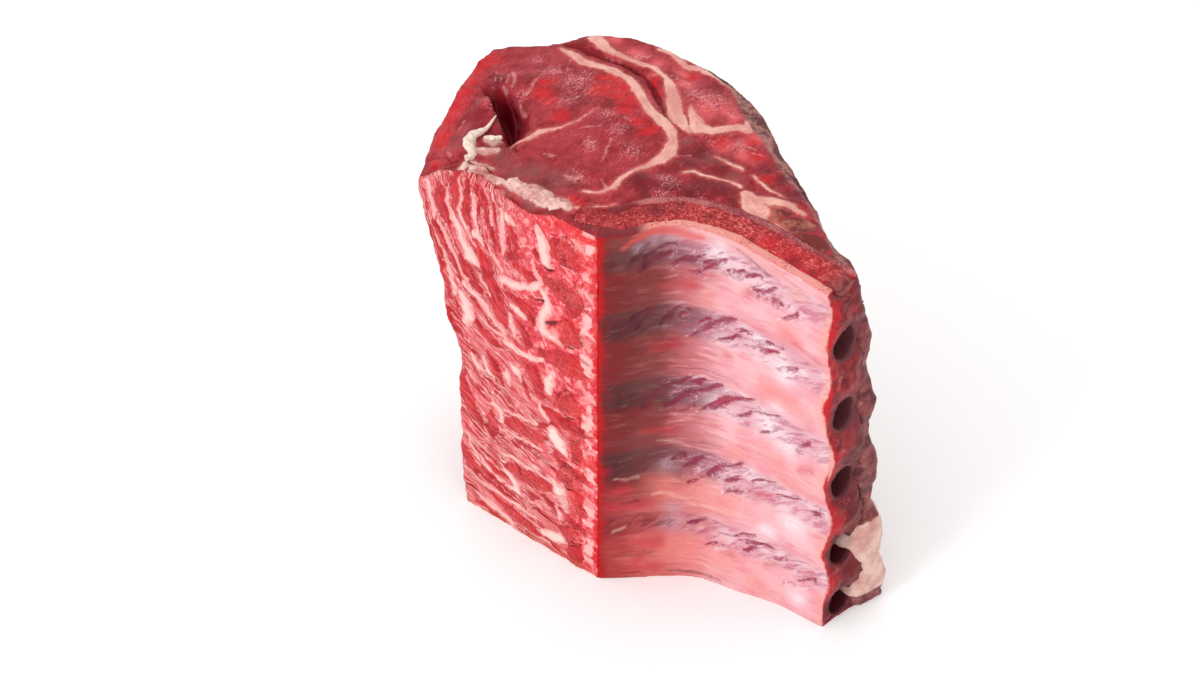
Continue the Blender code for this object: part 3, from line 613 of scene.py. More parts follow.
flesh = Finish("lean_and_fat", 0.003, 0.06, 0.10)
cut_colour, cut_height, fine = sawn_end(flesh)
skin_colour, skin_height = dried_skin(flesh)
cut = flesh.painted("cut")
height = cut.step(0.3, 0.7) * (cut_height - skin_height) + skin_height
flesh.wear(cut.over(skin_colour, cut_colour), 0.36 + fine * 0.18, height, 0.0006)
muscles_and_fat.data.materials.append(flesh.material)
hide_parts("loin_eye", "spine_strip_muscle", "cap_muscle", "upper_side_muscle",
            "lower_side_muscle", "rib_muscle", "seam_fat")

# ---- The meat on the sawn chine side ---------------------------------------------------------
# The saw ran lengthwise through the backbone here. Bundles of red meat lie between thin sheets of
# fat and lumps of cartilage, steep above and nearly level below, round the cut faces of the bones.

CHINE_FINENESS = 0.0011
ROUNDED_EDGE = 0.006
SPINE_BONES = ("vertebra_1", "vertebra_2", "vertebra_3", "vertebra_4", "spinous_process_1",
               "spinous_process_2", "spinous_process_3")
STREAK_MIDDLE = (-2.0, 30.0)  # the streaks run in rings round this place
RING_FLATNESS = (0.60, 0.95)  # how flat the rings are above and below
CHINE_HEIGHTS = {"red": (0.0008, -0.1, 0.4), "pale": (0.0006, 0.0, 0.3), "slit": (-0.0012, -0.08, 0.04)}
# Strokes on the chine side: distance from the near corner, height, half width.
RED_BUNDLES = (
    ((11.3, 24.9, .25), (11.4, 23.9, .5), (11.1, 23.1, .45), (10.8, 22.4, .15)),
    ((10.1, 26.6, .2), (10.3, 25.4, .3), (10.2, 24.3, .28), (9.8, 23.3, .15), (9.4, 22.3, .12),
     (8.9, 21.5, .12)),
    ((9.2, 26.2, .25), (9.4, 25, .35), (9.4, 23.8, .3), (9, 22.6, .15), (8.5, 21.4, .3), (8, 20.4, .5),
     (7.7, 19.4, .62), (7.3, 18.3, .6), (7, 17.4, .45), (6.8, 16.9, .15)),
    ((8.4, 26.2, .35), (8.1, 25.2, .35), (7.7, 24.2, .22), (7.4, 23.2, .2), (7.1, 22.3, .12)),
    ((7.4, 25.8, .15), (7.3, 24.8, .15), (7.15, 23.8, .12)),
    ((11.9, 22.2, .3), (11.5, 21.3, .35), (11, 20.4, .35), (10.6, 19.6, .25), (10.2, 18.9, .12)),
    ((10.2, 20.4, .2), (9.8, 19.9, .45), (9.2, 19.1, .45), (8.6, 18.6, .2)),
    ((12.3, 21.6, .1), (11.9, 20.4, .12), (11.6, 19.2, .18), (11.4, 18, .2), (11.2, 16.9, .15)),
    ((9.3, 17.6, .15), (8.9, 17.3, .28), (8.5, 16.9, .15)),
    ((8.6, 17, .08), (7.9, 16.4, .16), (7.4, 16.2, .08)),
    ((9.2, 16.1, .2), (8.6, 15.5, .38), (7.8, 15.2, .38), (7.1, 15, .15)),
    ((11.4, 16, .15), (11.3, 15.3, .3), (10.9, 14.6, .35), (10.2, 14.3, .15)),
    ((10.5, 16.6, .1), (10.4, 15.8, .14), (10.3, 15.2, .1)),
    ((10.4, 13.9, .1), (9.8, 13.6, .16), (9, 13.2, .1)),
    ((8.3, 14, .15), (7.8, 13.4, .4), (7.5, 12.7, .38), (7.2, 12, .12)),
    ((9, 12.2, .06), (8.2, 11.7, .12), (7.4, 11.4, .06)),
    ((10.3, 11.5, .15), (10.4, 10.6, .4), (10.2, 9.6, .6), (9.7, 8.7, .55), (9.2, 7.9, .35), (9, 7.3, .15)),
    ((8.2, 9.1, .2), (8.1, 8.4, .5), (8.2, 7.6, .45), (8.1, 7.2, .2)),
    ((10.6, 5.2, .15), (10.4, 4.4, .4), (9.9, 3.7, .5), (9.6, 3.2, .3)), ((9, 3.9, .3), (8.6, 3.4, .3)),
    ((8.6, 4.7, .2), (8, 4.4, .32), (7.3, 4.3, .25)), ((8.5, 3, .05), (7.6, 2.9, .14), (6.9, 2.8, .05)),
    ((10, .35, .12), (9.2, .6, .2), (8.4, .5, .15)),
    ((6.9, 9.1, .35), (6.2, 9.3, .55), (5.4, 9.3, .55), (4.5, 9.4, .45), (3.9, 9.6, .2)),
    ((7, 5.3, .3), (6.3, 5.4, .45), (5.3, 5.4, .5), (4.3, 5.5, .45), (3.5, 5.6, .2)),
    ((8.5, 2, .2), (7.3, 1.6, .45), (6.3, 1.3, .5), (5.2, 1, .4), (4.7, .8, .15)),
    ((6.3, 24.6, .15), (6, 24, .4), (5.7, 23.4, .2)), ((6.4, 22.4, .35), (5.8, 22.9, .3), (5.3, 23, .15)),
    ((5.9, 21.9, .15), (5.2, 21.9, .4), (4.5, 21.8, .3)), ((4.4, 23.7, .25), (3.9, 23.3, .3)),
    ((6.5, 19.6, .2), (5.6, 19.3, .5), (4.9, 18.8, .5), (4.7, 18.2, .2)),
    ((5.9, 17.9, .15), (5.4, 17.2, .4), (5.1, 16.6, .3)),
    ((4.9, 14.6, .5), (4.5, 13.8, .5), (4.3, 12.9, .35)),
    ((5.6, 13.6, .1), (5.4, 12.8, .25), (5.1, 12.2, .12)),
    ((6.4, 8.1, .08), (5.6, 7.9, .15), (4.9, 8.1, .08)), ((5.6, 4.1, .1), (5.1, 3.9, .3), (4.6, 4, .1)),
    ((4.2, 4.6, .25), (3.7, 4.3, .4), (3.4, 3.9, .2)), ((4.6, 10.2, .1), (3.8, 10.7, .2), (3.2, 11.1, .3)),
    ((4.2, 12, .1), (3.2, 11.8, .5), (2, 11.7, .5), (1, 11.8, .4)),
    ((3.3, 8.8, .1), (2.7, 8.3, .3), (1.8, 8.1, .3), (1, 7.9, .3)),
    ((1.7, 10.8, .35), (1.6, 10, .5), (1.6, 9.2, .4)), ((1.5, 6.3, .25), (1.3, 5.4, .4), (1.2, 4.7, .25)),
    ((2.2, 4, .3), (1.8, 3.6, .35), (1.2, 3.4, .25)), ((1.9, 2, .5), (1.7, 1.2, .7), (1.8, .3, .6)),
    ((3.9, 16.4, .5), (2.6, 16.6, .9), (1.4, 16.7, .9), (.8, 17.1, .5)),
    ((3.6, 22.1, .3), (2.6, 21.9, .8), (1.6, 21.7, .8), (1.9, 20.7, .5)),
    ((2, 19.7, .4), (1.7, 19, .8), (2.2, 18.4, .4)), ((3.2, 12.8, .2), (2.5, 13.3, .6), (1.9, 13.8, .6)),
    ((3, 25, .5), (2.4, 24.8, .9), (1.7, 24.2, .5)), ((2.8, 7.2, .5), (2.1, 7, .5)),
    ((2.8, 2.7, .3), (2.1, 2.8, .5)),
)
PALE_FAT = (
    ((12.4, 24.9, .15), (12.2, 24, .22), (12, 23, .16), (11.9, 22.4, .1)),
    ((10.8, 25.2, .06), (10.75, 24.2, .1), (10.5, 23.4, .18), (10.2, 22.5, .33), (9.9, 21.7, .28),
     (9.4, 20.9, .45), (8.7, 20.6, .2)),
    ((9.9, 26.3, .05), (9.85, 25, .09), (9.85, 24, .12), (9.7, 23.1, .12), (9.3, 22.3, .1),
     (8.9, 21.8, .08)),
    ((8.8, 25.6, .08), (8.75, 24.9, .13), (8.8, 24.2, .18), (8.6, 23.3, .15), (8.7, 22.7, .35),
     (8.3, 22.3, .15)), ((7.75, 25.4, .05), (7.6, 24.8, .1), (7.5, 24, .06)),
    ((6.85, 25.6, .12), (6.8, 24.4, .18), (6.75, 23.2, .16), (6.8, 22.2, .08)),
    ((11.6, 22.3, .12), (11.1, 21.3, .1), (10.6, 20.4, .12), (10.1, 19.5, .14), (9.7, 18.9, .12)),
    ((12, 21.2, .06), (11.5, 20.2, .1), (11.1, 19.2, .14), (10.8, 18.2, .2), (10.7, 17.4, .2)),
    ((8.8, 20, .06), (8.2, 19.2, .1), (7.9, 18.6, .08)),
    ((8.4, 22.9, .05), (7.8, 22.2, .08), (7.3, 21.6, .1), (7, 21, .1)),
    ((9.9, 18.6, .25), (9, 18.1, .22), (8.2, 17.5, .2), (7.6, 16.8, .15), (6.9, 16.4, .18)),
    ((10.2, 17.6, .3), (9.8, 16.9, .4), (9.6, 16.2, .4), (9.9, 15.5, .3)),
    ((9, 16.5, .06), (8, 16.1, .14), (7, 16, .1)),
    ((6.9, 20.4, .32), (6.2, 20.45, .32), (5.4, 20.7, .3), (4.7, 21, .3), (4.2, 21.5, .25)),
    ((6.3, 25.2, .4), (5.9, 25, .2)), ((4.2, 25.6, .2), (3.9, 24.6, .5), (3.6, 23.6, .4), (3.3, 23.2, .2)),
    ((1.6, 25.9, .2), (1.1, 25.8, .33)), ((.5, 25.9, .25), (.1, 25.7, .3)),
    ((4.6, 23, .05), (4.4, 22.4, .12), (4.1, 21.8, .2)),
    ((4.4, 21.3, .1), (3.7, 20.9, .3), (3.5, 20.1, .45), (3.9, 19.2, .35), (4, 18.2, .4), (3.2, 18, .2),
     (2.4, 17.9, .1)), ((6.4, 18.9, .1), (5.8, 18.7, .3), (5.4, 18.3, .2)),
    ((6.4, 18.2, .1), (6.3, 17.2, .22), (6.2, 16.4, .1)),
    ((6.9, 15.7, .2), (6, 15.4, .28), (5, 15.5, .22), (4, 15.9, .15)),
    ((3.3, 15.2, .2), (3.5, 14.4, .4), (3.7, 13.6, .25)),
    ((6.6, 14.2, .1), (6.1, 13.8, .35), (5.7, 13.4, .1)),
    ((6.9, 13.6, .1), (6.8, 12.9, .22), (6.6, 12.3, .1)),
    ((8.6, 13.4, .14), (8.3, 12.6, .16), (7.9, 12.1, .1)),
    ((9.6, 13.1, .2), (9.3, 12.6, .25), (8.6, 12.4, .1)),
    ((4.4, 12.1, .1), (4.2, 11.6, .2), (3.7, 11.2, .15)), ((3.3, 10.5, .5), (2.9, 9.7, .5), (2.5, 9.1, .2)),
    ((8.3, 9.7, .06), (7.9, 9.9, .22), (7.4, 9.7, .2), (7.35, 9, .14)),
    ((7.6, 10.1, .1), (6.6, 10.05, .12), (5.6, 10.2, .1), (4.6, 10.4, .1)),
    ((7.1, 8.4, .12), (6.2, 8.3, .12), (5, 8.4, .14), (4.2, 8.6, .1)),
    ((7.6, 6.1, .05), (6.6, 6.2, .14), (5.4, 6.15, .12), (4.2, 6.3, .12), (3.4, 6.2, .2)),
    ((3.4, 6.4, .2), (2.9, 5.8, .5), (2.6, 5.1, .4), (2.4, 4.5, .2)),
    ((10.1, 5.8, .1), (9.7, 5, .12), (9.4, 4.5, .1)),
    ((9.2, 5, .05), (8.9, 4.4, .14), (8.4, 3.9, .12), (7.6, 3.6, .2)),
    ((7.2, 4.9, .2), (6.6, 4.4, .25), (6.4, 3.6, .3), (7.2, 3.4, .1)),
    ((9.5, 2.7, .06), (8.4, 2.5, .12), (7.2, 2.4, .14), (6, 2.3, .14), (4.8, 2.1, .1)),
    ((4.3, 1.2, .3), (3.4, 1.4, .5), (2.7, 1.8, .35)), ((3.3, 4.3, .05), (2.9, 3.8, .2), (3, 3.3, .1)),
    ((9.6, 1.3, .1), (8.6, 1.1, .2), (7.6, .7, .25), (6.8, .4, .2)),
)
SLITS = (
    ((3.7, 22.95, .05), (3.3, 22.95, .1), (3, 23.1, .04)),
    ((3.7, 18.85, .06), (3.35, 19, .14), (2.9, 19.3, .05)),
    ((4.9, 20.1, .04), (4.2, 20.3, .07), (3.8, 20.55, .05)),
)
RED_GLOW = ((1, 24.6, .8), (2, 26.9, .8), (2.2, 19.4, 1.1), (1.6, 16.6, .9), (1.4, 13.4, .9), (1.6, 6, .8),
            (.6, 26.4, 1.3), (2.2, 26.7, .9), (3.6, 26.6, .7), (.4, 19.5, .7), (.5, 9.5, .8),
            (.3, 23.8, .7))


def chine_paint(points):
    """The painted strokes and the run of the streaks on the chine side."""
    face = np.stack([points @ CHINE_UNIT, points[:, 2]], axis=1) / CM
    face += wobble(points, 0.011, (7.0, 9.0), 0.16) + wobble(points, 0.004, (1.0, 2.0), 0.06, 2)
    flatness = RING_FLATNESS[1] + (RING_FLATNESS[0] - RING_FLATNESS[1]) * rise(face[:, 1], 12, 22)
    away = face - STREAK_MIDDLE
    streaky = np.maximum(rise(face[:, 0], 4.5, 7.5), rise(-face[:, 1], -16, -11)) * rise(face[:, 0], 1.5, 3.0)
    return {
        "red": depth_in(face, RED_BUNDLES), "pale": depth_in(face, PALE_FAT), "slit": depth_in(face, SLITS),
        "glow": patch(face, RED_GLOW), "across": np.hypot(away[:, 0], away[:, 1] * flatness),
        "turn": np.arctan2(-away[:, 1], away[:, 0]) * 10, "streaky": streaky, "from_corner": face[:, 0],
        "up": face[:, 1]}


def chine_relief(points, paint):
    """How far the chine side's surface stands out, in metres."""
    rings = np.stack([paint["across"], paint["turn"] * 0.22, np.zeros(len(points))], axis=1)
    relief = raised(paint, CHINE_HEIGHTS) + 0.0006 * lumps(rings, 0.45, seed=11.0) * paint["streaky"]
    return relief + 0.0008 * lumps(points, 0.014) + 0.0003 * lumps(points, 0.004, seed=3.0)


def marbled(finish):
    """Colour and height of streaky meat and fat, over the painted strokes."""
    spot = finish.place
    painted = finish.painted
    ragged = spot.grain(0.0022, 3.0, 0.6) - 0.5
    streak_place = vector(painted("across"), painted("turn") * 0.22, 0.0)
    bands = streak_place.grain(0.60, 3.0, 0.55, 0.3)
    streaks = streak_place.grain(0.22, 3.0, 0.6, 0.3)
    threads = streak_place.grain(0.09, 3.0, 0.6)
    blotch = spot.grain(0.008, 3.0)
    fine = spot.grain(0.0009, 3.0, 0.65)
    swirl = spot.grain(0.007, 3.0, 0.6, 1.2)
    squiggle = spot.grain(0.0035, 3.0, 0.65, 1.5)
    calm = layered(
        (swirl + squiggle.sway(0.5)).step(0.36, 0.52).over((210, 28, 42), (240, 76, 88)),
        ((swirl + squiggle.sway(0.4)).step(0.53, 0.63) * 0.75, (251, 186, 184)),
        (squiggle.line_at(0.5, 0.004, 0.03) * 0.5, (250, 168, 168)),
        (swirl.line_at(0.44, 0.004, 0.012) * 0.6, (166, 20, 34)),
        ((1.0 - blotch).step(0.54, 0.66) * 0.6, (190, 26, 40)))
    streaked = layered(
        (bands + streaks.sway(0.8)).step(0.36, 0.64).over((188, 24, 36), (228, 92, 100)),
        ((blotch + (streaks - 0.5)).step(0.5, 0.75) * 0.6, (238, 136, 140)),
        (streaks.line_at(0.455, 0.004, 0.018) * 0.5, (140, 12, 24)),
        (streaks.line_at(0.51, 0.006, 0.022) * 0.8, (253, 198, 194)),
        (bands.line_at(0.47, 0.002, 0.014) * 0.7, (254, 216, 210)),
        (threads.step(0.60, 0.70) * 0.4, (160, 16, 26)))
    bundle = layered(
        (blotch + threads.sway(0.6)).step(0.36, 0.66).over((168, 16, 26), (208, 42, 48)),
        (streaks.step(0.56, 0.62) * 0.6, (232, 92, 98)),
        (threads.step(0.58, 0.66) * 0.45, (240, 122, 124)),
        (fine.step(0.62, 0.72) * 0.35, (246, 150, 150)))
    pale = painted("pale")
    fat = layered(
        (pale + streaks.sway(0.8)).step(0.0, 0.3).over((248, 170, 168), (253, 222, 214)),
        (fine.step(0.5, 0.7) * 0.25, (240, 140, 140)))
    slit = painted("slit").step(-0.04, 0.03)
    colour = layered(
        painted("streaky").over(calm, streaked),
        ((painted("red") + ragged * 0.40).step(-0.04, 0.04) * 0.95, bundle),
        ((pale + ragged * 0.34).step(-0.05, 0.04) * 0.95, fat),
        ((painted("up") - 11.0).step(0.0, 8.0) * 0.13, (190, 20, 44)),
        ((painted("glow") + ragged * 0.4).step(0.1, 0.8) * 0.5, (232, 48, 46)),
        (slit * 0.9, (112, 20, 34)))
    return colour, streaks * 0.5 + threads * 0.3 + fine * 0.2 - slit


shape = fine_copy(["chine_meat", *SPINE_BONES], CHINE_FINENESS)
points, normals = places(shape)
paint = {**cut_paint(points), **chine_paint(points)}
out = points @ CHINE_OUT
face_share = rise(normals @ CHINE_OUT, 0.3, 0.7)
paint["top"] = rise(normals[:, 2], 0.4, 0.7)
paint["left_edge"] = rise(normals @ CHINE_UNIT, 0.25, 0.7) * rise(paint["from_corner"], 5, 7)
from_face = np.clip(1 - (out.max() - out) / ROUNDED_EDGE, 0, 1)
from_top = np.clip(1 - (HEIGHT - points[:, 2]) / ROUNDED_EDGE, 0, 1)
rounded = ROUNDED_EDGE * (0.35 + 0.65 * rise(paint["from_corner"], 3, 8))
wavy = 0.0018 * lumps(points * (0.3, 0.3, 1.0), 0.015, 2, seed=31.0) * rise(paint["from_corner"], 6, 11)
stands_out = chine_relief(points, paint) - rounded * (1 - np.sqrt(1 - from_top ** 2))
moved = points + CHINE_OUT * (stands_out * face_share)[:, None] + CHINE_UNIT * wavy[:, None]
moved[:, 2] += (cut_relief(points, paint) - rounded * (1 - np.sqrt(1 - from_face ** 2))) * paint["top"]
chine_side_meat = finished("chine_side_meat", shape, moved, paint)

chine_flesh = Finish("marbled_chine_meat", 0.003, 0.06, 0.12)
spot = chine_flesh.place
face_colour, height = marbled(chine_flesh)
top_colour, _, fine = sawn_end(chine_flesh)
up = chine_flesh.painted("up")
from_corner = chine_flesh.painted("from_corner") + spot.grain(0.006, 3.0).sway(1.6)
breaks = vector(up, 0.0, 0.0).grain(1.5, 2.0)
pale_rim = (1.15 - from_corner).step(0.0, 0.25) * (from_corner - 0.3).step(0.0, 0.15)
pale_rim = pale_rim * breaks.step(0.46, 0.54)
foot_stain = (1.0 - up + spot.grain(0.01, 3.0).sway(2.0)).step(0.0, 1.2)
chine_colour = layered(
    face_colour,
    (pale_rim * 0.85, (252, 196, 192)),
    (chine_flesh.painted("left_edge") * 0.75, (132, 30, 38)),
    (foot_stain * 0.35, (206, 104, 66)),
    ((0.30 - from_corner).step(0.0, 0.3) * 0.9, (222, 10, 16)),
    (chine_flesh.painted("top"), top_colour))
chine_flesh.wear(chine_colour, 0.40 + fine * 0.15, height, 0.0007)
chine_side_meat.data.materials.append(chine_flesh.material)
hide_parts("chine_meat")

# ---- The rib wall ----------------------------------------------------------------------------
# The wall of meat that holds the ribs, under the wet membrane that lined the chest. It swells over
# each rib, sinks between two, where purple muscle shows in slanting strokes, and ends at the tips.

RIBS = ("rib_1", "rib_2", "rib_3", "rib_4", "rib_5", "rib_6")
RIB_RISE = 0.009  # the ribs lie this much higher near the corner than at their tips
RIB_SIDE_REACH = (0.136, 0.122)  # plan x of the rib side's end, at the foot and at the top
RIB_SIDE_LONG = 14.7  # centimetres from the near corner to the tips, round the rib side
TIP_ACROSS = np.array([0.64, 0.77, 0.0])
TIP_START = 0.0528  # how far across the inner edge of the rib tips lies
TIP_WIDTH = 0.0226
TIP_SLICE = 0.0022  # the points of a rib this close to its sawn tip give the tip's outline
WALL_FINENESS = 0.00146
WALL_LET_OUT = 0.0008
GAP_DEEP = 0.0020  # how far the wall sinks between two ribs
STROKE_DEEP = 0.0007
TIP_SCALLOP = 0.0024
FIRST_RIB_MIDDLE = ((0, 3, 5, 7, 9, 10, 11, 12, 13),  # plan x, then plan y
                    (2.8, 2.9, 2.3, 1.6, 0.3, -0.9, -1.8, -3.0, -4.0))
# Strokes on the rib side: centimetres from the near corner, height, half width.
PURPLE_MUSCLE = (
    ((2.3, 25, .1), (3.5, 24.9, .15), (4.4, 25.4, .12), (5.2, 25.5, .05)),
    ((2.7, 24.1, .1), (3.4, 24.5, .2), (4.8, 24.9, .1)),
    ((5, 24.2, .08), (5.9, 24.5, .18), (6.9, 24.9, .08)),
    ((6, 23.8, .05), (7, 24.1, .08), (7.9, 24.3, .03)),
    ((6.9, 24.4, .08), (7.5, 24.5, .2), (8.1, 24.9, .08)), ((8.4, 24.3, .05), (9.3, 24.7, .07)),
    ((9.5, 24.5, .06), (10.3, 24.8, .12)), ((10.1, 24, .08), (11, 24.3, .12), (11.4, 24.5, .05)),
    ((10.4, 23.6, .06), (11.2, 23.8, .15), (11.7, 24, .06)), ((11.9, 23.2, .08), (12.6, 23.7, .14)),
    ((1.7, 20.1, .2), (2.6, 20.4, .5), (3.6, 20.9, .25)),
    ((4.1, 19.8, .1), (4.8, 20.4, .2), (5.3, 20.9, .15)), ((5.4, 20.4, .08), (5.9, 20.9, .12)),
    ((6.1, 19.1, .06), (6.8, 19.5, .12), (7.4, 20, .08)), ((6.5, 20, .06), (7.2, 20.5, .1)),
    ((7, 19.8, .1), (7.8, 20.4, .18), (8.6, 21, .22), (8.9, 21.2, .06)),
    ((7.9, 19.3, .06), (8.6, 19.6, .1), (9.1, 20, .06)),
    ((8.9, 20.2, .08), (9.3, 20.5, .14), (9.8, 20.4, .06)),
    ((9.4, 19.4, .05), (10, 19.6, .1), (10.5, 19.9, .06)),
    ((10.3, 19.6, .1), (11, 19.9, .18), (11.4, 20.1, .06)), ((10.8, 20.4, .05), (11.9, 20.5, .08)),
    ((12, 19.1, .05), (12.6, 19.5, .1)), ((3, 14, .2), (3.9, 14.6, .28), (4.4, 15.1, .12)),
    ((4.4, 14.9, .1), (5.2, 15.3, .16), (5.9, 15.9, .1)),
    ((4.5, 13.8, .12), (5.4, 14.3, .2), (6.2, 14.8, .12)), ((5.5, 13.5, .06), (6.3, 13.9, .1)),
    ((6.1, 15.5, .1), (6.6, 15.7, .2), (7, 16, .1)), ((6.3, 14.7, .08), (7.2, 15.3, .2), (8, 15.9, .15)),
    ((6.8, 13.7, .1), (7.5, 14.1, .2), (8.4, 14.7, .12)),
    ((7.8, 14.5, .1), (8.3, 14.9, .18), (8.9, 15.3, .08)),
    ((8.6, 15, .08), (9.3, 15.5, .14), (10, 16, .08)), ((9.1, 14, .06), (9.8, 14.5, .12)),
    ((10.2, 14.8, .05), (11, 15, .1), (11.6, 15.3, .05)), ((10.3, 13.5, .04), (10.9, 13.8, .1)),
    ((12.8, 13.4, .1), (13.1, 13.9, .14), (13.5, 14.4, .06)), ((5, 9.4, .15), (5.6, 9.7, .22)),
    ((5.7, 8.8, .1), (6.3, 9.2, .2), (7, 9.9, .12), (7.5, 10.2, .06)),
    ((5.9, 7.8, .05), (6.5, 8, .1), (6.8, 8.4, .05)),
    ((7.1, 8.6, .06), (7.7, 9.1, .14), (8.4, 9.6, .2), (8.9, 9.9, .08)),
    ((8.8, 9.9, .05), (9.2, 10.3, .14), (9.5, 10.7, .05)),
    ((8.2, 8.4, .05), (8.8, 8.8, .1), (9.2, 9.2, .06)), ((8.4, 7.8, .03), (9.3, 8.2, .06)),
    ((10, 9.2, .05), (10.8, 9.6, .1), (11.5, 10, .1)), ((11.6, 8.9, .04), (12.3, 9.2, .08)),
    ((12.5, 9.2, .05), (12.9, 9.6, .08)), ((13.4, 8.7, .08), (13.9, 8.9, .15), (14.5, 9.3, .08)),
    ((6, 4.2, .1), (6.4, 4.3, .2), (7.1, 4.7, .12)), ((7.1, 2.9, .04), (8.1, 3.3, .08)),
    ((9, 4.2, .06), (9.4, 4.6, .12), (10.2, 4.9, .1)), ((9.3, 3.9, .08), (10, 4.1, .16), (11.4, 4.4, .08)),
    ((9.6, 3.4, .08), (10.2, 3.9, .12)), ((11.6, 3.5, .05), (12.2, 3.8, .08)),
    ((13.1, 2.6, .08), (13.5, 3, .16), (14, 3.3, .1)), ((12, 2, .03), (12.8, 2.4, .06)),
)
RED_STREAKS = (
    ((10.2, 8.1, .06), (10.8, 8.5, .16), (11.3, 8.8, .06)),
    ((11, 2.8, .08), (11.4, 3.1, .18), (11.8, 3.6, .06)), ((10.6, 19.6, .04), (11.3, 20, .1)),
    ((7.9, 14.5, .04), (8.5, 15, .1)), ((12.5, 21.8, .06), (13.9, 21.3, .14)),
    ((8.2, 2.8, .03), (8.7, 2.8, .07)), ((13, 12.3, .03), (13.7, 12.6, .1)),
    ((3.6, 18.4, .08), (5.2, 18.6, .3)), ((3, 12.3, .1), (5, 12.2, .3)), ((2.4, 3, .2), (4, 2.9, .5)),
    ((2.4, .8, .2), (2.8, 1.8, .4)), ((4.2, 22.9, .1), (6.2, 23, .35)), ((9.5, 23.3, .1), (9.8, 23.6, .15)),
    ((8.3, 18.4, .12), (8.5, 18.4, .14)), ((5.5, 23.3, .03), (5.7, 23.2, .06)),
    ((.5, 7.6, .1), (1.8, 7.6, .3)), ((13.4, 3.4, .05), (13.7, 3.6, .12)), ((.6, 6.2, .3), (3.2, 6.3, .5)),
    ((1.8, 1, .25), (3.8, .9, .4)),
)
# Pale lines along the wall's upper lip and above creases, partly the membrane's own edge and partly painted
# highlights.
LIP_AND_CREASE_HIGHLIGHTS = (
    ((6.4, 27, .12), (9, 26.6, .2), (10.5, 26.1, .3), (12, 25.4, .32), (12.9, 24.9, .25)),
    ((6.8, 6.3, .05), (8.4, 6.4, .14), (9.6, 6.5, .04)), ((3.6, 7.1, .05), (5, 6.9, .1), (6.4, 6.2, .08)),
    ((3.9, 11.3, .05), (5, 11.1, .08), (6, 10.7, .03)), ((1.1, 8.5, .02), (2.6, 8.3, .03)),
    ((1, 4, .02), (1.8, 4.2, .05)), ((7, 13, .03), (9.5, 13.3, .05)),
)
ORANGE_LIP = (((1.6, 26, .15), (2.4, 26.4, .2), (3.6, 26.7, .25), (5.2, 26.5, .32), (6.6, 26.2, .3)),)
# Painted shade in thin creases.
SHADED_CREASES = (
    ((0, 8.7, .12), (.5, 8.4, .1), (1.2, 8.2, .04)), ((5, 16.8, .02), (7, 17, .05), (9, 16.9, .01)),
    ((5.8, 11.1, .02), (8.2, 11.5, .04)), ((.2, 3.6, .05), (1, 3.4, .03)), ((1, 2, .02), (3.6, 2.1, .05)),
    ((4.6, .5, .08), (6.2, .5, .12), (8, .4, .06)), ((6.8, 8.9, .02), (8, 8.6, .03)),
    ((1.4, 6.5, .05), (2.6, 6.7, .12)), ((9, 26.2, .04), (9.8, 25.8, .1), (11, 25.3, .04)),
)
# Painted highlights: pale patches where light shines on the wet membrane.
PAINTED_HIGHLIGHT_SPOTS = ((9.3, 20.7, .35), (10.3, 20.4, .4), (10.9, 20.2, .3), (8.4, 15.6, .35), (9.4, 15.9, .3),
                (11, 14.4, .9), (13, 19.5, .3), (7.7, 25.3, .7), (9.9, 10, .35), (11.5, 16.2, .6),
                (12.2, 13.4, .8), (11.9, 18.9, .8), (12.6, 7.4, .9), (11.8, 3.9, .35), (11, 6, .8),
                (8, 26, .5), (13, 1.4, .6))
LILAC_SPOTS = ((3.7, 26, .5), (4.8, 25.8, .6), (2.8, 25.6, .5), (5, 5.6, .8), (4.8, 4.3, .7), (4.6, 9, .6))
PEACH_SPOTS = ((11.2, 17.3, 1), (12.4, 17.2, .9), (6.5, 7.4, 1.4), (8.6, 7.2, 1.2), (6, 2.2, 1.4),
               (8.2, 2.2, 1.2), (12, 22.2, .8), (7.2, 22.2, .7), (11.4, 12.3, .9), (9, 11.4, .8),
               (4.4, 7.4, 1.2), (10.4, 1.2, 1), (4.6, 2.6, 1), (12.6, 10.9, .8))


def round_the_tips(points):
    """Where the hollow in each sawn rib tip lies, and where painted shadow lies on the meat beside it."""
    pocket = np.zeros(len(points))
    shade = np.zeros(len(points))
    for label in RIBS:
        ring = np.array([vert.co[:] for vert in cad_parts[label].data.vertices]) - NEAR_CORNER
        ring = ring[ring @ TIP_OUT > (ring @ TIP_OUT).max() - TIP_SLICE]
        middle, half = box_of(ring)
        from_middle = points - middle
        across = from_middle @ TIP_ACROSS
        deep = from_middle @ TIP_OUT
        up = from_middle[:, 2] / half[2]
        if label != RIBS[0]:
            away = np.hypot(across / np.hypot(half[0], half[1]), up)
            pocket = np.maximum(pocket, rise(-away, -1.12, -1.02) * rise(deep, -0.014, -0.010))
        away = np.hypot((across - 0.005) / 0.0140, up)
        shade = np.maximum(shade, rise(-away, -1.25, -0.9) * rise(deep, -0.003, 0.003))
    return pocket, shade


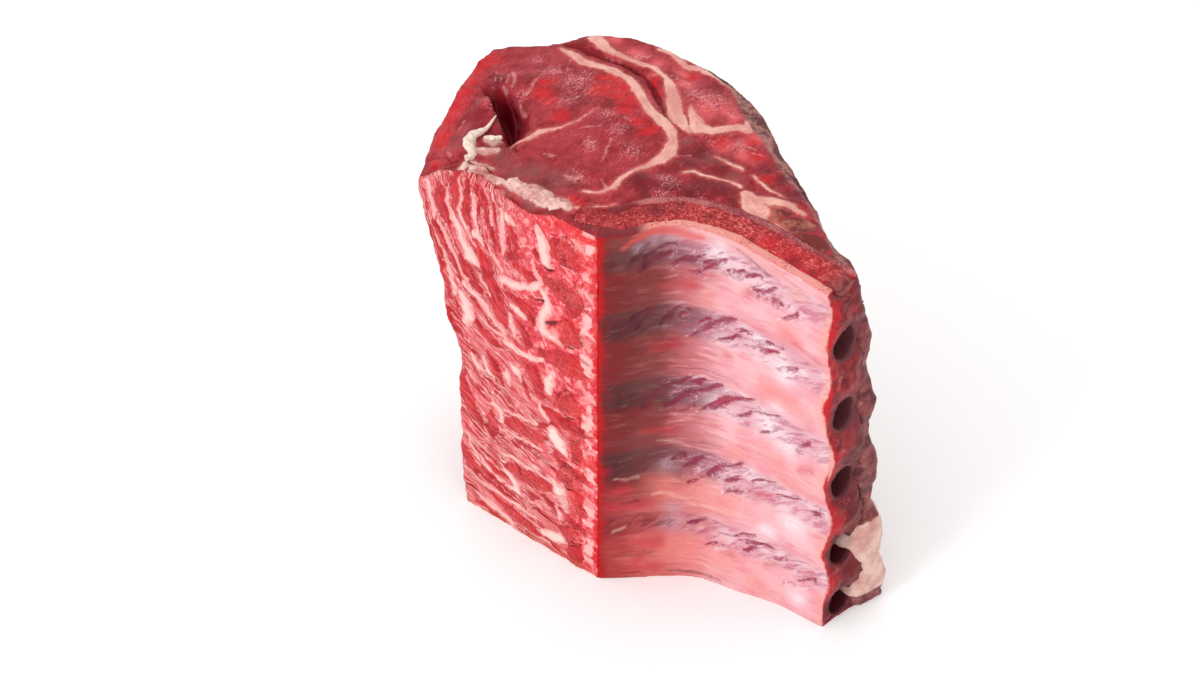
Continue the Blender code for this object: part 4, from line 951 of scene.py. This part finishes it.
def ribs_and_gaps(run, up, banded, cloud, long_streaks):
    """The colours of the ribs and of the gaps, in painted shade near the corner, deepest higher up, and pale
    towards the tips.
    """
    broad_streaks = vector(run * 0.2, up, 5.0).grain(1.1, 3.0, 0.6)
    # How far out of the painted shade near the corner a place lies, with a ragged edge.
    beyond_painted_shade = run - 1.0 + long_streaks.sway(2.4) + broad_streaks.sway(3.0) + up.step(23.6, 26.0) * 2.0
    high = (up + cloud.sway(4.0)).step(5.4, 9.0)
    rib_colour = layered(
        high.over((178, 62, 62), (120, 32, 36)),
        (beyond_painted_shade.step(0.0, 2.4), high.over((216, 110, 106), (136, 60, 60))),
        (beyond_painted_shade.step(2.8, 5.2), high.over((228, 132, 134), (200, 112, 118))),
        (beyond_painted_shade.step(4.8, 7.6), cloud.step(0.35, 0.65).over((247, 186, 192), (242, 158, 168))))
    gap_colour = layered(
        high.over((146, 44, 50), (74, 34, 34)),
        (beyond_painted_shade.step(0.0, 2.2), high.over((182, 78, 80), (104, 60, 58))),
        (beyond_painted_shade.step(2.8, 5.2), high.over((212, 130, 138), (138, 92, 100))),
        (beyond_painted_shade.step(5.0, 8.0), cloud.step(0.38, 0.62).over((242, 208, 216), (228, 172, 184))))
    return (banded * 0.9).over(rib_colour, gap_colour)


def rib_side(finish, cloud, fine, low_rim):
    """Colour and height of the wet membrane over the ribs and over the gaps between them."""
    spot = finish.place
    painted = finish.painted
    run = painted("run")
    up = painted("up")
    gap = painted("gap")
    long_streaks = vector(run * 0.14, up, 0.0).grain(0.30, 4.0, 0.6, 0.2)
    slant = vector((run * 0.84 + up * 0.54) * 0.24, up * 0.84 - run * 0.54, 2.0).grain(0.30, 3.0, 0.6, 0.2)
    ragged = spot.grain(0.0022, 4.0, 0.75).sway(0.55)
    banded = (gap + long_streaks.sway(0.4) + cloud.sway(0.3)).step(0.45, 0.9)
    # The purple muscle, in clear strokes and in fainter ones round them, laid darker as painted shade near
    # the corner, with painted glints beside the strokes.
    far = run.step(3.5, 6.5)
    near = 1.0 - far
    stroke = painted("stroke")
    shaded_purple = cloud.step(0.35, 0.65).over((84, 34, 44), (120, 44, 58))
    purple_far = cloud.step(0.35, 0.65).over((164, 62, 98), (198, 86, 118))
    faint = slant.step(0.47, 0.61) * (banded * 0.8 + (stroke + 0.7).step(0.0, 0.6) * 0.6).step(0.3, 1.0)
    clear = (stroke + ragged + slant.sway(0.6)).step(-0.14, 0.10)
    clear_purple = (run + slant.sway(4.0)).step(3.5, 8.0).over(shaded_purple, (152, 38, 74))
    painted_glint = (slant + fine.sway(0.5)).step(0.56, 0.66) * (stroke + 0.55).step(0.0, 0.35) * (1.0 - clear)
    # Painted highlights, and near-white painted sparkle within them.
    painted_highlight = painted("painted_highlight")
    wet = (fine + painted_highlight * 0.10).step(0.60, 0.72) * painted_highlight.step(0.4, 0.9)
    streak = (painted("streak") + ragged + long_streaks.sway(1.2)).step(-0.45, 0.45)
    lip_and_highlights = (painted("lip_and_highlights") + ragged * 0.4 + long_streaks.sway(0.6)).step(-0.20, 0.14)
    orange_lip = (painted("orange_lip") + long_streaks.sway(0.9)).step(-0.3, 0.25)
    crease_shade = (painted("crease_shade") + ragged * 0.5).step(-0.12, 0.08)
    wave = run.math("SINE", (painted("rung") + 0.55) * (2 * math.pi))
    tip_red = run - 14.60 - wave * 0.26 - low_rim * 0.8 - cloud.sway(0.9) - fine.sway(0.3)
    colour = layered(
        ribs_and_gaps(run, up, banded, cloud, long_streaks),
        (long_streaks.step(0.54, 0.70) * 0.4 * far, (252, 210, 206)),
        ((1.0 - long_streaks).step(0.54, 0.72) * (far * 0.3 + 0.08), (206, 84, 96)),
        # Near the corner: faint light streaks, and dark red streaks that fray the edge of the painted shade.
        (long_streaks.step(0.54, 0.66) * near * 0.10, (226, 150, 140)),
        ((1.0 - long_streaks).step(0.52, 0.66) * near * 0.38, (140, 26, 34)),
        (painted("peach") * 0.5, (240, 140, 128)),
        (painted("lilac") * 0.6, (200, 164, 178)),
        # Painted highlights and painted sparkle on the wet membrane.
        (painted_highlight * 0.75, (250, 226, 234)),
        (wet * 0.5, (255, 252, 254)),
        (faint * 0.68, far.over(shaded_purple, purple_far)),
        (clear * 0.85, clear_purple),
        (painted_glint * far * 0.6, (250, 226, 236)),
        (streak * 0.65, (200, 50, 62)),
        # Pale lines along the upper lip and above creases, partly the membrane's own edge and partly painted
        # highlights.
        (lip_and_highlights * 0.5, (246, 190, 176)),
        (orange_lip * 0.75, (230, 96, 84)),
        # Painted shade in thin creases.
        (crease_shade * 0.5, (96, 30, 38)),
        ((1.1 - run + (cloud - 0.5)).step(0.0, 1.0) * 0.5, (150, 14, 20)),
        ((0.55 - run + cloud.sway(1.5)).step(0.0, 0.5) * 0.9, (186, 6, 12)),
        (tip_red.step(-0.7, 0.0) * 0.6, (244, 168, 150)),
        (tip_red.step(-0.05, 0.15), (200, 28, 38)))
    height = long_streaks * 0.4 + slant * banded * 0.3 + fine * 0.2 - stroke.step(-0.1, 0.1) * 0.2
    return colour, height


def rib_tips(finish, cloud, low_rim):
    """Colour of the meat round the rib tips, dark with painted shade, with a red inner edge and a pale rim
    between the lower ribs.
    """
    spot = finish.place
    up = finish.painted("up")
    shreds = vector(spot.along((0.64, 0.77, 0.0)), 0.0, spot.along((0, 0, 1)) * 0.6)
    shreds = shreds.grain(0.0045, 4.0, 0.65, 0.6)
    across_tip = finish.painted("across_tip")
    red_edge = 1.0 - across_tip + low_rim * 0.30 + shreds.sway(0.6) - up.step(8.0, 20.0) * 0.16
    outer_side = (across_tip + shreds.sway(0.5)).step(0.55, 0.9)
    pale_rim = (low_rim * 0.20 - across_tip + shreds.sway(0.15)).step(0.0, 0.06) * low_rim.step(0.1, 0.4)
    return layered(
        # Painted shade: the meat round the tips is laid dark, and mauve on its outer side, as it faces away
        # from the key light.
        (cloud + shreds.sway(0.8)).step(0.38, 0.62).over((108, 32, 38), (156, 50, 54)),
        (shreds.step(0.56, 0.68) * 0.6, (196, 112, 108)),
        (red_edge.step(0.74, 1.0) * 0.85, (196, 34, 44)),
        (outer_side * 0.7, up.step(4.0, 18.0).over((110, 30, 34), (114, 56, 60))),
        (pale_rim, (244, 166, 160)),
        # Painted shadow beside each rib tip.
        (finish.painted("shade") * 0.8, (118, 48, 54)))


shape = fine_copy(["rib_wall"], WALL_FINENESS, WALL_LET_OUT)
points, normals = places(shape)
share = points[:, 0] / np.interp(points[:, 2], (0, HEIGHT), RIB_SIDE_REACH)
rung = rung_at(points[:, 2] - RIB_RISE * (1 - share))
gap = 0.5 - 0.5 * np.cos(2 * math.pi * rung)
side = np.stack([share * RIB_SIDE_LONG, points[:, 2] / CM], axis=1) + wobble(points, 0.010, (4.0, 6.0), 0.12)
pocket, shade = round_the_tips(points)
tip_side = np.maximum(rise(normals @ TIP_OUT, 0.72, 0.88) * rise(share, 0.85, 0.93), pocket)
cut_side = rise(np.abs(normals[:, 2]), 0.55, 0.8) * (1 - pocket)
inner_side = rise(-normals[:, 1], 0.15, 0.45) * (1 - tip_side) * (1 - cut_side)
paint = {
    "gap": gap, "rung": rung, "run": side[:, 0], "up": side[:, 1], "pocket": pocket, "shade": shade,
    "inner_side": inner_side, "cut_side": cut_side,
    "across_tip": (points @ TIP_ACROSS - TIP_START) / TIP_WIDTH,
    "front": rise(np.interp(points[:, 0] / CM, *FIRST_RIB_MIDDLE) - points[:, 1] / CM, -0.1, 0.1),
    "stroke": depth_in(side, PURPLE_MUSCLE), "streak": depth_in(side, RED_STREAKS),
    "lip_and_highlights": depth_in(side, LIP_AND_CREASE_HIGHLIGHTS), "orange_lip": depth_in(side, ORANGE_LIP),
    "crease_shade": depth_in(side, SHADED_CREASES), "painted_highlight": patch(side, PAINTED_HIGHLIGHT_SPOTS),
    "lilac": patch(side, LILAC_SPOTS), "peach": patch(side, PEACH_SPOTS)}
relief = 0.0004 * lumps(points, 0.016)
relief += tip_side * (1 - pocket) * (0.0016 * lumps(points, 0.009, seed=5.0) + TIP_SCALLOP * (gap - 0.5))
sunk = GAP_DEEP * gap * rise(share, 0.02, 0.2) + STROKE_DEEP * rise(paint["stroke"], -0.08, 0.08)
relief -= inner_side * sunk
relief += inner_side * 0.0004 * lumps(points * (0.4, 0.4, 2.0), 0.006, seed=8.0)
rib_wall_meat = finished("rib_wall_meat", shape, points + normals * relief[:, None], paint)

membrane = Finish("rib_membrane", 0.003, 0.08, 0.12)
up = membrane.painted("up")
cloud = membrane.place.grain(0.018, 3.0)
fine = membrane.place.grain(0.0010, 3.0, 0.6)
low_rim = membrane.painted("gap") * (17.0 - up).step(0.0, 5.0)
side_colour, wall_height = rib_side(membrane, cloud, fine, low_rim)
# Painted shade in the hollows round the rib tips, darker towards the foot.
pocket_shade_colour = (up + fine.sway(12.0)).step(5.0, 17.0).over((76, 22, 28), (110, 58, 62))
run = membrane.painted("run")
front_strip = layered(
    (run - 2.4).step(0.0, 1.2).over((130, 36, 44), (240, 158, 148)),
    ((fine - 0.5 + cloud).step(0.48, 0.68) * (run - 1.5).step(0.0, 1.5), (206, 80, 80)))
back_strip = (fine + (cloud - 0.5)).step(0.4, 0.65).over((150, 58, 66), (196, 112, 112))
wall_colour = layered(
    rib_tips(membrane, cloud, low_rim),
    (membrane.painted("inner_side"), side_colour),
    (membrane.painted("pocket"), pocket_shade_colour),
    (membrane.painted("cut_side"), membrane.painted("front").over(back_strip, front_strip)))
membrane.wear(wall_colour, 0.32 + fine * 0.16, wall_height, 0.0007)
rib_wall_meat.data.materials.append(membrane.material)
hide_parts("rib_wall")

# ---- The bones -------------------------------------------------------------------------------
# Six ribs, the vertebrae and the spinous processes, sawn through, so that their red porous marrow
# shows. The first rib lies sawn lengthwise in the upper cut, and the others show at both ends.

BONE_FINENESS = 0.0010
BONE_STANDS_OUT = 0.0006
KNUCKLE_LONG = 0.0075  # the first rib's knuckle is this much longer than its solid
KNUCKLE_DROP = 0.0025
BONE_EDGE_DEEP = 0.0016
CHINE_REACH = 0.050  # the ribs lie sawn in the chine side as far as this plan x
FIRST_RIB_TOP = 0.264
# Spots on the first rib's sawn length: plan x, plan y, radius.
MARROW_PITS = ((3.2, 2.3, .5), (1.3, 2.7, .3), (6, 1.9, .3), (10.4, -1.6, .5), (11.4, -2.5, .4),
               (4.4, 2.9, .4))
BRIGHT_MARROW = ((10.3, -1.5, 1), (11.2, -2.5, .8), (9.2, -.2, .6))
DULL_MARROW = ((.6, 2.8, 1.6), (2.6, 2.9, .9))


def sawn_marrow():
    """The bones' material, porous, and speckled where the saw ran down the backbone."""
    finish = Finish("sawn_marrow", 0.002, 0.05, 0.10)
    spot = finish.place
    painted = finish.painted
    marbled_colour, height = marbled(finish)
    pores = spot.grain(0.0016, 4.0, 0.75)
    clumps = spot.grain(0.005, 3.0, 0.6)
    dull = painted("dull")
    # The sawn rib tips: dark marrow in painted shade, darker towards the foot.
    tip_shade_height = (spot.along((0, 0, 1 / CM)) + pores.sway(12.0)).step(5.0, 17.0)
    porous = layered(
        (pores + clumps.sway(0.5)).step(0.38, 0.62).over((152, 28, 34), (226, 80, 80)),
        (painted("bright") * 0.7, (228, 34, 48)),
        (dull * 0.8, (146, 28, 34)),
        ((pores + clumps.sway(0.3)).step(0.56, 0.66) * (0.75 - dull * 0.5), (244, 160, 150)),
        (painted("pits") * 0.6, (84, 18, 26)),
        (painted("rind").step(0.5, 0.9) * 0.5, (214, 120, 112)),
        # The sawn rib tips, dark marrow in painted shade.
        (painted("tip"), tip_shade_height.over((64, 16, 22), (104, 52, 56))),
        (painted("knuckle"), clumps.step(0.4, 0.6).over((118, 46, 52), (164, 84, 84))))
    speckled = layered(
        marbled_colour,
        (pores.step(0.50, 0.62) * 0.45, (246, 148, 146)),
        ((1.0 - pores).step(0.56, 0.64) * 0.3, (170, 16, 26)),
        (clumps.step(0.42, 0.56) * 0.35, (236, 72, 70)))
    bone_colour = painted("chine").over(porous, speckled)
    finish.wear(bone_colour, 0.38 + pores * 0.2, pores + height * 0.3, 0.0009)
    return finish.material


marrow = sawn_marrow()
for label in RIBS + SPINE_BONES:
    shape = fine_copy([label], BONE_FINENESS)
    points, normals = places(shape)
    paint = chine_paint(points)
    first = label == RIBS[0]
    faces_out = rise(normals @ CHINE_OUT, 0.3, 0.7)
    from_tip = points @ TIP_OUT - (points @ TIP_OUT).max()
    lift = chine_relief(points, paint) + BONE_STANDS_OUT
    if label in SPINE_BONES:
        middle, half = box_of(points)
        across = (points - middle) @ CHINE_UNIT / (half @ np.abs(CHINE_UNIT))
        away = np.hypot(across, (points[:, 2] - middle[2]) / half[2])
        lift -= BONE_EDGE_DEEP * rise(away, 0.55, 0.95)
        paint["chine"] = np.ones(len(points))
    else:
        paint["chine"] = faces_out * rise(CHINE_REACH - points[:, 0], 0, 0.01)
    if first:
        paint["chine"] *= rise(FIRST_RIB_TOP - points[:, 2], 0.0, 0.004)
    paint["tip"] = rise(from_tip, -0.014, -0.011) * (not first)
    paint["knuckle"] = rise(from_tip, -0.008, 0.000) * first
    for spot_label, spots in (("pits", MARROW_PITS), ("bright", BRIGHT_MARROW), ("dull", DULL_MARROW)):
        paint[spot_label] = patch(points[:, :2] / CM, spots)
    paint["rind"] = rise(1 - np.abs(normals[:, 2]), 0.1, 0.6)
    moved = points + CHINE_OUT * (lift * faces_out * paint["chine"])[:, None]
    moved += normals * (0.0005 * lumps(points, 0.006) + 0.0004 * lumps(points, 0.0025, 2, seed=3.0))[:, None]
    moved += TIP_OUT * (KNUCKLE_LONG * paint["knuckle"])[:, None]
    moved[:, 2] -= KNUCKLE_DROP * paint["knuckle"] ** 2 * rise(normals[:, 2], 0, 0.6)
    bone = finished(f"{label}_bone", shape, moved, paint)
    bone.data.materials.append(marrow)
    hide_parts(label)

# ---- The white fat and the gristle ------------------------------------------------------------
# A torn tendon with white fat curls up beside the gouge in the loin eye, with a short strand at its
# side. Knobs of pale gristle stand along the edge between the loin eye and the chine side.

STRAND_FINENESS = 0.0005
GRISTLE_START = 0.060  # the gristle lies nearer than this plan y
# Plan x, plan y and height over the cut, and the strand's half width, all in centimetres.
STRAND = (((-5.75, 9.95, .75), .05), ((-6, 9.45, .65), .1), ((-6.3, 9, .5), .14), ((-6.7, 8.8, .42), .21),
          ((-7.05, 8.6, .35), .3), ((-7.3, 8.1, .25), .32), ((-7.1, 7.6, .18), .27),
          ((-6.95, 7.1, .1), .22), ((-7.35, 6.9, .05), .2))
SIDE_STRAND = (((-6.35, 8.5, .3), .14), ((-5.85, 8.25, .4), .2), ((-5.4, 8.4, .35), .1))
GRISTLE = (((-5, 4.85, -.1), .2), ((-4.4, 4.5, -.15), .34), ((-3.8, 4.1, -.2), .44),
           ((-3.1, 3.7, -.2), .46), ((-2.5, 3.2, -.15), .38), ((-1.9, 2.85, -.15), .34),
           ((-1.5, 2.5, -.15), .22))


def strand_mesh(paths, fineness):
    """A closed fine mesh over stretches of tapered tube."""
    shape = bmesh.new()
    base = Vector(NEAR_CORNER) + Vector((0, 0, HEIGHT))
    for path in paths:
        for (start, thick), (end, thin) in zip(path, path[1:]):
            start = Vector(start) * CM + base
            end = Vector(end) * CM + base
            turn = (end - start).to_track_quat("Z", "Y").to_matrix().to_4x4()
            turn.translation = (start + end) / 2
            bmesh.ops.create_cone(
                shape, cap_ends=True, segments=16, radius1=thick * CM, radius2=thin * CM,
                depth=(end - start).length * 1.15, matrix=turn)
    shape = remeshed(shape, fineness)
    for _ in range(4):
        soften(shape)
    return shape


shape = strand_mesh((STRAND, SIDE_STRAND, GRISTLE), STRAND_FINENESS)
points, normals = places(shape)
gristle = rise(-points[:, 1], -GRISTLE_START, 0.005 - GRISTLE_START)
knobs = np.abs(lumps(points, 0.007, seed=81.0))
relief = 0.0006 * lumps(points, 0.004) * (1 - gristle) + (0.0034 * knobs - 0.0010) * gristle
white_strand = finished("white_fat_strand", shape, points + normals * relief[:, None], {"gristle": gristle})

tendon = Finish("white_tendon", 0.003, 0.15, 0.2)
spot = tendon.place
strings = vector(spot.along((0.6, -0.8, 0)) * 0.2, spot.along((0.8, 0.6, 0)), spot.along((0, 0, 1)))
strings = strings.grain(0.0012, 3.0)
crumbs = spot.grain(0.004, 4.0, 0.7)
blotch = spot.grain(0.014, 4.0, 0.6)
knob_colour = layered(
    (blotch * 0.5 + crumbs * 0.5).step(0.44, 0.62).over((247, 206, 198), (206, 136, 128)),
    (crumbs.step(0.54, 0.66) * 0.6, (253, 234, 228)))
tendon_colour = strings.step(0.35, 0.65).over((250, 236, 222), (232, 196, 182))
tendon_colour = tendon.painted("gristle").over(tendon_colour, knob_colour)
tendon.wear(tendon_colour, 0.35 + strings * 0.15, strings, 0.0006)
white_strand.data.materials.append(tendon.material)

# ---- The studio ------------------------------------------------------------------------------
# A white floor and soft white light from all round and from the left, as for a catalogue picture.

FLOOR_HALF = 4.0
WHITE = (1, 1, 1, 1)
KEY_PLACE = Vector((-1.3, -1.3, 1.5))
KEY_AIM = Vector((0, 0, 0.15))
CAMERA_PLACE = (float(NEAR_CORNER[0]) + 0.0012, float(NEAR_CORNER[1]) - 0.9640, 1.0663)
CAMERA_PITCH = math.radians(48.0)

paper = bpy.data.materials.new("white_paper")
paper.use_nodes = True
fill(paper.node_tree.nodes["Principled BSDF"], {
    "Base Color": (0.95, 0.95, 0.95, 1), "Roughness": 0.9, "Emission Color": WHITE,
    "Emission Strength": 0.06})
floor_shape = bmesh.new()
bmesh.ops.create_grid(floor_shape, x_segments=1, y_segments=1, size=FLOOR_HALF)
floor_mesh = bpy.data.meshes.new("floor")
floor_shape.to_mesh(floor_mesh)
floor_shape.free()
floor_mesh.materials.append(paper)
floor = linked("floor", floor_mesh)

world = bpy.data.worlds.new("studio")
bpy.context.scene.world = world
world.use_nodes = True
fill(world.node_tree.nodes["Background"], {"Color": WHITE, "Strength": 1.05})

key = bpy.data.lights.new("key", "AREA")
key.shape = "DISK"
key.size = 0.6
key.energy = 14
lamp = linked("key", key)
lamp.location = KEY_PLACE
lamp.rotation_euler = (KEY_AIM - KEY_PLACE).to_track_quat("-Z", "Y").to_euler()

lens = bpy.data.cameras.new("camera")
lens.lens = 70
lens.sensor_width = 36
camera = linked("camera", lens)
camera.location = CAMERA_PLACE
camera.rotation_euler = (CAMERA_PITCH, 0, 0)
bpy.context.scene.camera = camera
bpy.context.scene.view_settings.view_transform = "Standard"
